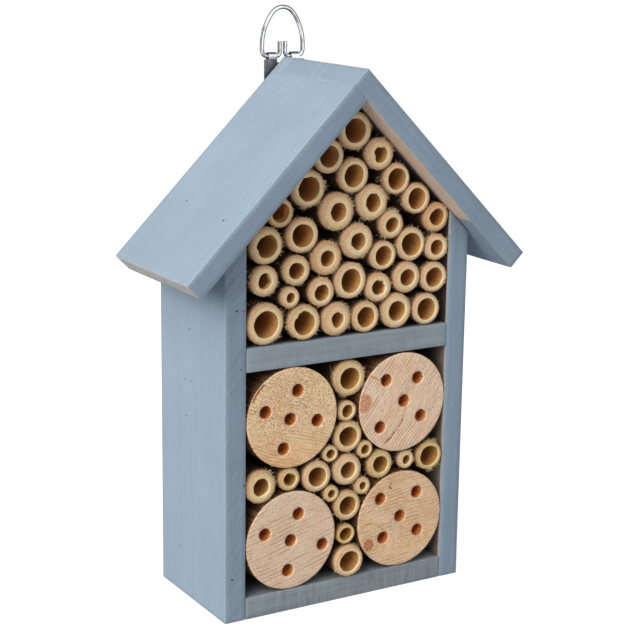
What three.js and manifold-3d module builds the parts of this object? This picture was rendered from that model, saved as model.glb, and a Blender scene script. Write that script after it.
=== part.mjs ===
// Insect hotel: a small gabled wooden house, open at the front, packed with cut reeds and
// drilled logs, with a wire ring on the back to hang it by.
// Millimetres. +Z is up, the open front faces -Y, and the origin is the middle of the underside.

import * as THREE from 'three';
import { mergeVertices } from 'three/addons/utils/BufferGeometryUtils.js';
import Module from 'manifold-3d';

const wasm = await Module();
wasm.setup();

// ---------------------------------------------------------------- driving dimensions

const gap = 0.3; // between any two pieces that touch

const bodyWidth = 140;
const bodyDepth = 71;
const boardThickness = 11.5; // walls and floor
const shelfBottom = 127.4;
const shelfThickness = 12;
const backThickness = 6;

const ridgeHeight = 272;
const roofThickness = 10.8;
const roofOverhang = 11.8; // in front of the walls
const roofBackInset = 2.1; // the roof stops short of the walls' back
const leftEave = 95.8; // how far each roof board reaches sideways
const rightEave = 97;

const hardware = {
  axisHeight: 271.6, // where the ring's wire passes through the plate's knuckles
  ringMiddle: 1.4,
  plateMiddle: 1.6,
  sheet: 0.6,
  plateHalfWidth: 11.7,
  plateBottom: 226,
  bottomRadius: 7,
  taperTop: 247, // below this height the plate narrows to its rounded foot
  shoulder: 270.1,
  slotBottom: 268.5,
  knuckleInner: 4.3, // each knuckle's two ends, from the plate's middle
  knuckleOuter: 9.1,
  wireRadius: 1.15,
  wireClearance: 0.3,
  curlEnd: -120, // where each knuckle's curl stops, in degrees from straight back
};

const ringShape = {
  halfWidth: 12,
  cornerRadius: 3.2,
  sideStart: 5.5, // where the straight side starts to lean in
  sideRadius: 26,
  topRadius: 8,
  stubOffset: 1.6, // the wire's two ends stand side by side in the middle
  stubTop: 7.4,
  stubBend: 1.6,
};

const screw = {
  heights: { hanger_screw_upper: 245, hanger_screw_lower: 233.5 },
  headRadius: 3,
  rimRadius: 2.7,
  crownRadius: 1.65,
  headHeight: 1.8,
  rimHeight: 1.1,
  shankRadius: 1.3,
  tipRadius: 0.5,
  tipLength: 1.2,
  intoPanel: 4.2,
};

// The logs: middle, radius, and the drilled holes as [across, up] from the log's middle.
const holeRadius = 3.3;
const holeDepth = 50;
const logs = {
  log_upper_left: {
    x: -32.5, z: 101.4, radius: 25.5,
    holes: [[-1.2, -0.6], [3, 13.6], [-15.1, 4.8], [14.4, -3.3], [-4.9, -15.3]],
  },
  log_upper_right: {
    x: 32.3, z: 100.6, radius: 25.9,
    holes: [[1, 0.6], [-10, 12.8], [9.1, 11.9], [-13.2, -11.7], [11.6, -8.8]],
  },
  log_lower_left: {
    x: -32.5, z: 37.5, radius: 25.5,
    holes: [[-0.3, -0.1], [4.1, 13.3], [-15.1, 5.6], [18.2, -5.4], [-1.8, -15.7]],
  },
  log_lower_right: {
    x: 32.5, z: 37.6, radius: 25.6,
    holes: [[0.1, 1.4], [-12.2, 12.7], [10.2, 12.9], [-10.1, -8.9], [11.2, -8.3]],
  },
};

// The reeds, as [across, up, outside diameter, bore]. They start here and are then settled
// against each other, the boards and the logs, as they are when pressed into the house.
const upperReeds = [
  [1, 241, 19.5, 12.3], [-13, 229.5, 17.1, 11], [16, 229, 16.5, 8.6],
  [1, 219, 17.3, 11.4], [26, 216, 15.7, 11.2], [-24.5, 214.5, 19.1, 12.6],
  [-8, 202, 19.3, 9.8], [12.5, 205, 18.1, 9.8], [38, 205.5, 16, 10.8],
  [24, 193, 14.4, 7.8], [50.5, 195, 15.4, 9.2], [-40, 204, 14.7, 9.5],
  [-27.5, 192, 17.9, 12], [-47.5, 188.5, 18.3, 12], [4, 186.5, 18.3, 9.2],
  [36, 182, 17.2, 12.2], [51.5, 179.5, 14, 8], [-13.5, 179.5, 17.3, 8.2],
  [19, 178, 15.2, 10.2], [-30.5, 175, 15.1, 9], [-48, 171.5, 15.5, 8.6],
  [0, 167, 18.5, 12], [33.5, 165, 16.2, 9], [50.5, 163.5, 16.2, 10.5],
  [-34, 162, 10.6, 5.2], [-16, 163, 14.8, 8.8], [17, 161.5, 15.4, 8.6],
  [-47.5, 150, 20.9, 13.8], [-26, 148.5, 18.3, 12.4], [-7.5, 148, 17.2, 8.2],
  [9.5, 147, 16, 10.8], [28, 148.5, 18.4, 10.4], [46, 147.5, 16.6, 11.6],
];
const lowerReeds = [
  [1, 117, 18.8, 11.6], [-0.5, 101, 10.8, 6.6], [0.5, 86.5, 17, 10.8],
  [-10, 79, 9.2, 5.2], [11.5, 78.5, 9.6, 5.3], [0.5, 69, 16.8, 9],
  [20, 69, 15.2, 9.2], [36, 69, 10.2, 5], [50.5, 69, 15.8, 11.2],
  [10, 59.5, 9.6, 4.4], [-17.5, 68.5, 16.6, 10.6], [-33.5, 69.5, 12.2, 7.5],
  [-49.5, 68, 17.4, 9.6], [-8.5, 57.5, 9.2, 4.6], [1, 49.5, 16.4, 10.2],
  [0, 34, 10.8, 7.4], [1, 20.5, 17.2, 11.6],
];

// Small reeds that are glued to the side of a bigger one: host number, then its small ones.
const gluedReeds = { 3: [2, 4, 5], 15: [10, 14] };
const glueBite = 0.25;
const proudReed = { number: 17, by: 2 }; // one lower reed stands out of the front
const settlePasses = 3000;

const sides = { reed: 18, log: 36, hole: 12, wire: 10, curl: 18 };

// ---------------------------------------------------------------- places worked out from them

const frontY = -bodyDepth / 2;
const backY = bodyDepth / 2;
const panelFrontY = backY - backThickness;
const fillBackY = panelFrontY - gap;
const innerHalf = bodyWidth / 2 - boardThickness;
const roofDrop = roofThickness * Math.SQRT2; // the roof's thickness, measured straight down
const undersideRidge = ridgeHeight - roofDrop;
const slopeGap = gap * Math.SQRT2;

const plateFrontY = backY + gap;
const knuckleInside = hardware.wireRadius + hardware.wireClearance;
const axisY = plateFrontY + hardware.sheet + knuckleInside;

// ---------------------------------------------------------------- materials

const paintedWood = new THREE.MeshStandardMaterial({ color: 0xa4aeb6, roughness: 0.75 });
const endGrain = new THREE.MeshStandardMaterial({ color: 0xcdb49a, roughness: 0.85 });
const reedSkin = new THREE.MeshStandardMaterial({ color: 0xdcc39c, roughness: 0.7 });
const plainSteel = new THREE.MeshStandardMaterial({ color: 0x6d6e70, roughness: 0.5, metalness: 1 });
const brightWire = new THREE.MeshStandardMaterial({ color: 0xc9cacc, roughness: 0.2, metalness: 1 });

// ---------------------------------------------------------------- helpers

function toSolid(geometry) {
  const plain = geometry.clone();
  plain.deleteAttribute('normal');
  plain.deleteAttribute('uv');
  const merged = mergeVertices(plain, 1e-4);
  const vertProperties = new Float32Array(merged.attributes.position.array);
  const triVerts = new Uint32Array(merged.index.array);
  return new wasm.Manifold(new wasm.Mesh({ numProp: 3, vertProperties, triVerts }));
}

function toGeometry(solid) {
  const mesh = solid.getMesh();
  const geometry = new THREE.BufferGeometry();
  geometry.setAttribute('position', new THREE.BufferAttribute(mesh.vertProperties, 3));
  geometry.setIndex(new THREE.BufferAttribute(mesh.triVerts, 1));
  geometry.computeVertexNormals();
  return geometry;
}

function named(name, geometry, material) {
  const mesh = new THREE.Mesh(geometry, material);
  mesh.name = name;
  return mesh;
}

function outline(points) {
  return new THREE.Shape(points.map(([across, up]) => new THREE.Vector2(across, up)));
}

// A front-view outline (across, up) made solid from fromY in front to toY behind. Full circles
// in it get the given number of sides, which is twice the curve segments.
function upright(shape, fromY, toY, circleSides = sides.reed) {
  const depth = toY - fromY;
  const curveSegments = circleSides / 2;
  const geometry = new THREE.ExtrudeGeometry(shape, { depth, curveSegments, bevelEnabled: false });
  geometry.rotateX(Math.PI / 2);
  geometry.translate(0, toY, 0);
  return geometry;
}

function disc(x, z, radius) {
  const shape = new THREE.Shape();
  shape.absarc(x, z, radius, 0, 2 * Math.PI);
  return shape;
}

function rod(x, z, radius, fromY, toY, circleSides) {
  return upright(disc(x, z, radius), fromY, toY, circleSides);
}

// ---------------------------------------------------------------- the house's boards

function wall(name, side) {
  const outer = side * (bodyWidth / 2);
  const inner = side * innerHalf;
  const top = undersideRidge - slopeGap;
  const shape = outline([
    [outer, 0],
    [inner, 0],
    [inner, top - innerHalf],
    [outer, top - bodyWidth / 2],
  ]);
  return named(name, upright(shape, frontY, backY), paintedWood);
}

function crossBoard(name, bottom, thickness) {
  const half = innerHalf - gap;
  const shape = outline([
    [-half, bottom],
    [half, bottom],
    [half, bottom + thickness],
    [-half, bottom + thickness],
  ]);
  return named(name, upright(shape, frontY, fillBackY), paintedWood);
}

function backPanel() {
  const half = innerHalf - gap;
  const top = undersideRidge - slopeGap;
  const shape = outline([
    [-half, 0],
    [half, 0],
    [half, top - half],
    [0, top],
    [-half, top - half],
  ]);
  let solid = toSolid(upright(shape, panelFrontY, backY));
  for (const height of Object.values(screw.heights)) {
    const pilotRadius = screw.shankRadius + gap;
    const pilotEnd = backY - screw.intoPanel - gap;
    const pilot = rod(hardware.plateMiddle, height, pilotRadius, pilotEnd, backY + 1, sides.hole);
    solid = solid.subtract(toSolid(pilot));
  }
  return named('back_panel', toGeometry(solid), paintedWood);
}

// The boards meet square at the ridge: the right one runs over the left one's end.
function roofBoards() {
  const inward = roofThickness / Math.SQRT2;
  const right = outline([
    [0, ridgeHeight],
    [-inward, ridgeHeight - inward],
    [rightEave - inward, ridgeHeight - rightEave - inward],
    [rightEave, ridgeHeight - rightEave],
  ]);
  const start = inward + gap / Math.SQRT2;
  const left = outline([
    [-start, ridgeHeight - start],
    [-leftEave, ridgeHeight - leftEave],
    [-leftEave + inward, ridgeHeight - leftEave - inward],
    [-start + inward, ridgeHeight - start - inward],
  ]);
  const from = frontY - roofOverhang;
  const to = backY - roofBackInset;
  return [
    named('left_roof_board', upright(left, from, to), paintedWood),
    named('right_roof_board', upright(right, from, to), paintedWood),
  ];
}

// ---------------------------------------------------------------- the filling

function log(name, { x, z, radius, holes }) {
  let solid = toSolid(rod(x, z, radius, frontY, fillBackY, sides.log));
  for (const [across, up] of holes) {
    const drill = rod(x + across, z + up, holeRadius, frontY - 1, frontY + holeDepth, sides.hole);
    solid = solid.subtract(toSolid(drill));
  }
  return named(name, toGeometry(solid), endGrain);
}

function asReeds(rows, glued) {
  const reeds = rows.map(([x, z, outside, bore], i) => ({
    number: i + 1, x, z, radius: outside / 2, boreRadius: bore / 2, host: null,
  }));
  for (const [host, small] of Object.entries(glued)) {
    for (const number of small) {
      reeds[number - 1].host = reeds[host - 1];
    }
  }
  return reeds;
}

// How far a reed has to move away from another round thing; a glued pair also pulls together.
function separation(reed, other) {
  const apart = Math.hypot(reed.x - other.x, reed.z - other.z);
  const glued = reed.host === other || other.host === reed;
  const wanted = reed.radius + other.radius + (glued ? -glueBite : gap);
  const move = glued ? wanted - apart : Math.max(wanted - apart, 0);
  return { x: ((reed.x - other.x) / apart) * move, z: ((reed.z - other.z) / apart) * move };
}

// Presses the reeds apart until no two bite into each other, a log or a board.
function settle(reeds, fixed, boards) {
  for (let pass = 0; pass < settlePasses; pass += 1) {
    for (const reed of reeds) {
      for (const other of reeds) {
        if (other !== reed) {
          const push = separation(reed, other);
          reed.x += push.x / 2;
          reed.z += push.z / 2;
          other.x -= push.x / 2;
          other.z -= push.z / 2;
        }
      }
      for (const round of fixed) {
        const push = separation(reed, round);
        reed.x += push.x;
        reed.z += push.z;
      }
      for (const { across, up, reach } of boards) {
        const past = reed.x * across + reed.z * up + reed.radius + gap - reach;
        if (past > 0) {
          reed.x -= across * past;
          reed.z -= up * past;
        }
      }
    }
  }
}

function tube(reed, fromY) {
  const shape = disc(reed.x, reed.z, reed.radius);
  const bore = new THREE.Path();
  bore.absarc(reed.x, reed.z, reed.boreRadius, 0, 2 * Math.PI);
  shape.holes.push(bore);
  return upright(shape, fromY, fillBackY);
}

function reedName(place, numbers) {
  const text = numbers.map((number) => String(number).padStart(2, '0')).join('_');
  return `${place}_${numbers.length > 1 ? 'reeds' : 'reed'}_${text}`;
}

// A host and the small reeds glued to it are one piece.
function reedPieces(place, reeds) {
  const pieces = [];
  for (const host of reeds.filter((reed) => reed.host === null)) {
    const small = reeds.filter((reed) => reed.host === host);
    const proud = place === 'lower' && host.number === proudReed.number ? proudReed.by : 0;
    const numbers = [host.number, ...small.map((reed) => reed.number)];
    let geometry = tube(host, frontY - proud);
    if (small.length > 0) {
      let solid = toSolid(geometry);
      for (const reed of small) {
        solid = solid.add(toSolid(tube(reed, frontY)));
      }
      geometry = toGeometry(solid);
    }
    pieces.push(named(reedName(place, numbers), geometry, reedSkin));
  }
  return pieces;
}

function fillReeds() {
  const slope = Math.SQRT1_2;
  const sideBoards = [
    { across: -1, up: 0, reach: innerHalf },
    { across: 1, up: 0, reach: innerHalf },
  ];
  const upper = asReeds(upperReeds, {});
  settle(upper, [], [
    ...sideBoards,
    { across: 0, up: -1, reach: -(shelfBottom + shelfThickness) },
    { across: slope, up: slope, reach: undersideRidge * slope },
    { across: -slope, up: slope, reach: undersideRidge * slope },
  ]);
  const lower = asReeds(lowerReeds, gluedReeds);
  settle(lower, Object.values(logs), [
    ...sideBoards,
    { across: 0, up: -1, reach: -boardThickness },
    { across: 0, up: 1, reach: shelfBottom },
  ]);
  return [...reedPieces('upper', upper), ...reedPieces('lower', lower)];
}

// ---------------------------------------------------------------- the hanger

// Points of an arc, in degrees from +across towards +up.
function arc(across, up, radius, fromDeg, toDeg, steps) {
  const points = [];
  for (let i = 0; i <= steps; i += 1) {
    const angle = THREE.MathUtils.degToRad(fromDeg + ((toDeg - fromDeg) * i) / steps);
    points.push([across + radius * Math.cos(angle), up + radius * Math.sin(angle)]);
  }
  return points;
}

// Half of the ring, from the top of one wire end out along the base, up the side to the top.
function ringHalf() {
  const { halfWidth, cornerRadius, sideStart, sideRadius, topRadius } = ringShape;
  const { stubOffset, stubTop, stubBend } = ringShape;
  const join = THREE.MathUtils.radToDeg(Math.acos((sideRadius - halfWidth) / (sideRadius - topRadius)));
  const topUp = sideStart + (sideRadius - topRadius) * Math.sin(THREE.MathUtils.degToRad(join));
  return [
    [stubOffset, stubTop],
    ...arc(stubOffset + stubBend, stubBend, stubBend, 180, 270, 4),
    ...arc(halfWidth - cornerRadius, cornerRadius, cornerRadius, 270, 360, 5),
    ...arc(halfWidth - sideRadius, sideStart, sideRadius, 0, join, 8),
    ...arc(0, topUp, topRadius, join, 90, 5).slice(1),
  ];
}

function hangingRing() {
  const right = ringHalf();
  const left = right.slice(0, -1).map(([across, up]) => [-across, up]);
  const points = [...right, ...left.reverse()].map(
    ([across, up]) =>
      new THREE.Vector3(hardware.ringMiddle + across, axisY, hardware.axisHeight + up),
  );
  const path = new THREE.CatmullRomCurve3(points, false, 'centripetal');
  const geometry = new THREE.ExtrudeGeometry(disc(0, 0, hardware.wireRadius), {
    steps: 96,
    curveSegments: sides.wire / 2,
    extrudePath: path,
  });
  return named('hanging_ring', geometry, brightWire);
}

// A side-view outline (back, up) made solid along X.
function sideways(shape, fromX, toX) {
  const geometry = new THREE.ExtrudeGeometry(shape, { depth: toX - fromX, bevelEnabled: false });
  // Shape's across becomes +Y, its up +Z, and the depth +X.
  geometry.applyMatrix4(new THREE.Matrix4().set(0, 0, 1, fromX, 1, 0, 0, 0, 0, 1, 0, 0, 0, 0, 0, 1));
  return geometry;
}

function hangerPlate() {
  const { axisHeight, plateMiddle, sheet, plateHalfWidth, plateBottom } = hardware;
  const { bottomRadius, taperTop, shoulder, slotBottom, knuckleInner, knuckleOuter } = hardware;
  const plateBackY = plateFrontY + sheet;
  const body = outline([
    [-plateHalfWidth, shoulder],
    [-plateHalfWidth, taperTop],
    ...arc(0, plateBottom + bottomRadius, bottomRadius, 200, 340, 8),
    [plateHalfWidth, taperTop],
    [plateHalfWidth, shoulder],
    [knuckleInner, shoulder],
    [knuckleInner, slotBottom],
    [-knuckleInner, slotBottom],
    [-knuckleInner, shoulder],
  ]);
  let solid = toSolid(upright(body, plateFrontY, plateBackY).translate(plateMiddle, 0, 0));

  // Each knuckle: the sheet runs up, then curls back and down round the wire.
  const knuckle = outline([
    [plateFrontY, shoulder - 1],
    ...arc(axisY, axisHeight, knuckleInside + sheet, 180, hardware.curlEnd, sides.curl),
    ...arc(axisY, axisHeight, knuckleInside, hardware.curlEnd, 180, sides.curl),
    [plateBackY, shoulder - 1],
  ]);
  for (const [from, to] of [[-knuckleOuter, -knuckleInner], [knuckleInner, knuckleOuter]]) {
    solid = solid.add(toSolid(sideways(knuckle, plateMiddle + from, plateMiddle + to)));
  }
  for (const height of Object.values(screw.heights)) {
    const radius = screw.shankRadius + gap;
    const hole = rod(plateMiddle, height, radius, plateFrontY - 1, plateBackY + 1, sides.hole);
    solid = solid.subtract(toSolid(hole));
  }
  return named('hanger_plate', toGeometry(solid), plainSteel);
}

// A round-headed screw, its head behind the plate and its shank in the back panel.
function hangerScrew(name, height) {
  const { headRadius, headHeight, rimHeight, shankRadius, tipLength, intoPanel } = screw;
  const length = intoPanel + gap + hardware.sheet + gap;
  const profile = [
    new THREE.Vector2(0, 0),
    new THREE.Vector2(screw.tipRadius, 0),
    new THREE.Vector2(shankRadius, tipLength),
    new THREE.Vector2(shankRadius, length),
    new THREE.Vector2(headRadius, length),
    new THREE.Vector2(screw.rimRadius, length + rimHeight),
    new THREE.Vector2(screw.crownRadius, length + headHeight),
    new THREE.Vector2(0, length + headHeight),
  ];
  const geometry = new THREE.LatheGeometry(profile, sides.hole);
  geometry.translate(hardware.plateMiddle, backY - intoPanel, height);
  return named(name, geometry, plainSteel);
}

// ---------------------------------------------------------------- the whole object

const house = new THREE.Group();
house.add(wall('left_wall', -1), wall('right_wall', 1));
house.add(crossBoard('floor_board', 0, boardThickness));
house.add(crossBoard('shelf', shelfBottom, shelfThickness));
house.add(backPanel(), ...roofBoards());

const filling = new THREE.Group();
for (const [name, shape] of Object.entries(logs)) {
  filling.add(log(name, shape));
}
filling.add(...fillReeds());

const hanger = new THREE.Group();
hanger.add(hangerPlate(), hangingRing());
for (const [name, height] of Object.entries(screw.heights)) {
  hanger.add(hangerScrew(name, height));
}

const insectHotel = new THREE.Group();
insectHotel.add(house, filling, hanger);

export default insectHotel;
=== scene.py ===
"""The looks of the insect hotel: worn painted boards, cut reeds, drilled logs and a wire hanger,
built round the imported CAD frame. The open front faces -Y and +Z is up. Lengths are in metres,
so a length written as 3 * MM is 3 millimetres. Textures work in millimetres."""

import math
import random

import bmesh
import bpy
from mathutils import Matrix, Vector, geometry, noise


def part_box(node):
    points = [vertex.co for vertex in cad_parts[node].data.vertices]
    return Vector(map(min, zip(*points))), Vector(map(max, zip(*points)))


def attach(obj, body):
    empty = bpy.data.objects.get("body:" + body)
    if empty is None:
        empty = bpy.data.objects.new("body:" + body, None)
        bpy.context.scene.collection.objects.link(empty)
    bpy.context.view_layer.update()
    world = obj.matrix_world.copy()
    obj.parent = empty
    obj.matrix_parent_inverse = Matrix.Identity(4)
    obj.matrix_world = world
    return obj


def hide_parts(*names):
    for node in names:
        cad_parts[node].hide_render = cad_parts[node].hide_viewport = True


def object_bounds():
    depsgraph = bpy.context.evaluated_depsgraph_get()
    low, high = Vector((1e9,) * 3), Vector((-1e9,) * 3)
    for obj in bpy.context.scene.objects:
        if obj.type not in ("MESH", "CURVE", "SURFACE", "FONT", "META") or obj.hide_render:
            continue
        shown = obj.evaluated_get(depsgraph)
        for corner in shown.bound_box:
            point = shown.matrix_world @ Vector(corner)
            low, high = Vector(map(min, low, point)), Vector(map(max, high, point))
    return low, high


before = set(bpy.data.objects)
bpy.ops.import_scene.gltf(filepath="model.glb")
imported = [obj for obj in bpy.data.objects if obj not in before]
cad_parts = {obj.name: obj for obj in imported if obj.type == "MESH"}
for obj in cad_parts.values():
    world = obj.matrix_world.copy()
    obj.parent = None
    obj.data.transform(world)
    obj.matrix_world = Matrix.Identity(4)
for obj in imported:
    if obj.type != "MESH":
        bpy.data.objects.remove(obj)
cad_low, cad_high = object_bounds()

MM = 0.001
SAME_PLACE = 1e-6

# ---------------------------------------------------------------- colours (as on a colour picker)

PAINT = (141, 157, 171)
PAINT_GREYER = (149, 159, 167)
PAINT_WORN = (139, 147, 151)
BARE_WOOD = (230, 192, 161)
BARE_PALE = (216, 208, 198)
THIN_PAINT = (184, 188, 188)
# Painted shade: the dark brown laid on faces inside the house, the deeper they lie the darker.
PAINTED_SHADE_COLOUR = (60, 54, 47)
SCUFF = (92, 96, 88)
DUST = (226, 230, 232)

REED_RIM = (255, 238, 198)
REED_FACE = (246, 214, 160)
REED_BAND = (216, 172, 134)
REED_SKIN = (196, 150, 108)
REED_BORE = (238, 182, 108)
# A darker tone streaked through the bore, also used as painted shade deep inside it.
REED_BORE_DARK_AND_SHADE = (166, 108, 56)
REED_SPOT = (130, 86, 52)
REED_GREEN = (222, 220, 168)
REED_PINK = (236, 190, 152)
# Painted shade on a reed's skin, in the gaps behind the cut ends.
REED_GAP_SHADE = (52, 38, 28)
FIBRE = (240, 224, 184)

LOG_HOLE = (238, 162, 92)
LOG_HOLE_DEEP = (200, 114, 54)
BARK = (150, 80, 54)
LOG_SIDE = (132, 92, 62)
LOG_SIDE_DARK = (72, 52, 38)
KNOT = (196, 118, 74)

STEEL = (120, 122, 126)
WIRE = (236, 237, 240)
PLATE_STEEL = (150, 151, 153)
BRAD = (58, 58, 60)
FLOOR = (246, 246, 246)


def shaded(colour, share):
    """The same colour made lighter or darker."""
    return tuple(min(part * share, 255) for part in colour)


def linear(colour):
    """A colour picker's 0-255 colour as the linear colour that shaders use."""
    parts = [part / 255 for part in colour]
    parts = [part / 12.92 if part <= 0.04045 else ((part + 0.055) / 1.055) ** 2.4 for part in parts]
    return (*parts, 1.0)


# ---------------------------------------------------------------- writing materials


class Graph:
    """A material's node tree. Each method adds a node and returns its output, so graphs nest."""

    def __init__(self, name):
        self.material = bpy.data.materials.new(name)
        self.material.use_nodes = True
        self.tree = self.material.node_tree
        self.tree.nodes.clear()

    def node(self, kind, inputs, output=0, **settings):
        made = self.tree.nodes.new(kind)
        for name, value in settings.items():
            setattr(made, name, value)
        for name, value in inputs.items():
            if isinstance(value, bpy.types.NodeSocket):
                self.tree.links.new(value, made.inputs[name])
            else:
                made.inputs[name].default_value = value
        return None if output is None else made.outputs[output]

    def attribute(self, name):
        return self.node("ShaderNodeAttribute", {}, "Fac", attribute_name=name)

    def place(self, turn=(0, 0, 0), stretch=(1, 1, 1), start=(0, 0, 0)):
        """Object coordinates in millimetres, turned first and then squeezed by stretch."""
        origin = self.node("ShaderNodeTexCoord", {}, "Object")
        inputs = {
            "Vector": origin,
            "Location": [part * MM for part in start],
            "Rotation": [math.radians(part) for part in turn],
            "Scale": [part * MM for part in stretch],
        }
        return self.node("ShaderNodeMapping", inputs, vector_type="TEXTURE")

    def math(self, operation, a, b=0.0, c=0.0):
        return self.node("ShaderNodeMath", {0: a, 1: b, 2: c}, operation=operation)

    def add(self, a, b):
        return self.math("ADD", a, b)

    def times(self, a, b):
        return self.math("MULTIPLY", a, b)

    def step(self, value, low, high, out_low=0.0, out_high=1.0):
        """A smooth step from out_low to out_high as value goes from low to high."""
        inputs = {"Value": value, "From Min": low, "From Max": high}
        inputs.update({"To Min": out_low, "To Max": out_high})
        return self.node("ShaderNodeMapRange", inputs, interpolation_type="SMOOTHSTEP")

    def noise(self, vector, scale, detail=2.0, roughness=0.5):
        inputs = {"Vector": vector, "Scale": scale, "Detail": detail, "Roughness": roughness}
        return self.node("ShaderNodeTexNoise", inputs, "Fac")

    def cells(self, vector, scale):
        """The distance to the nearest of many scattered points."""
        return self.node("ShaderNodeTexVoronoi", {"Vector": vector, "Scale": scale}, "Distance")

    def length(self, vector):
        return self.node("ShaderNodeVectorMath", {0: vector}, "Value", operation="LENGTH")

    def parts(self, vector):
        made = self.tree.nodes.new("ShaderNodeSeparateXYZ")
        self.tree.links.new(vector, made.inputs[0])
        return made.outputs[0], made.outputs[1], made.outputs[2]

    def blend(self, amount, a, b, mode="MIX"):
        """Colour a turning into colour b, each an output or a colour picker's colour."""
        made = self.tree.nodes.new("ShaderNodeMix")
        made.data_type = "RGBA"
        made.blend_type = mode
        for index, value in ((0, amount), (6, a), (7, b)):
            if isinstance(value, bpy.types.NodeSocket):
                self.tree.links.new(value, made.inputs[index])
            else:
                made.inputs[index].default_value = linear(value) if isinstance(value, tuple) else value
        return made.outputs[2]

    def coats(self, colour, *coats):
        """Lays colours over one another. Each coat is (mask, low, high, most, colour): it comes
        in as the mask goes from low to high, and hides up to the share most of what is under it."""
        for mask, low, high, most, top in coats:
            colour = self.blend(self.step(mask, low, high, 0.0, most), colour, top)
        return colour

    def bump(self, height, depth, normal=None):
        """Height from 0 to 1 standing depth metres high."""
        inputs = {"Height": height, "Distance": depth, "Strength": 1.0}
        if normal is not None:
            inputs["Normal"] = normal
        return self.node("ShaderNodeBump", inputs)

    def finish(self, colour, roughness, normal=None, metallic=0.0, specular=0.4):
        inputs = {"Base Color": colour, "Roughness": roughness, "Metallic": metallic}
        inputs["Specular IOR Level"] = specular
        if normal is not None:
            inputs["Normal"] = normal
        shader = self.node("ShaderNodeBsdfPrincipled", inputs)
        self.node("ShaderNodeOutputMaterial", {"Surface": shader}, None)
        return self.material


# ---------------------------------------------------------------- materials


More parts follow.
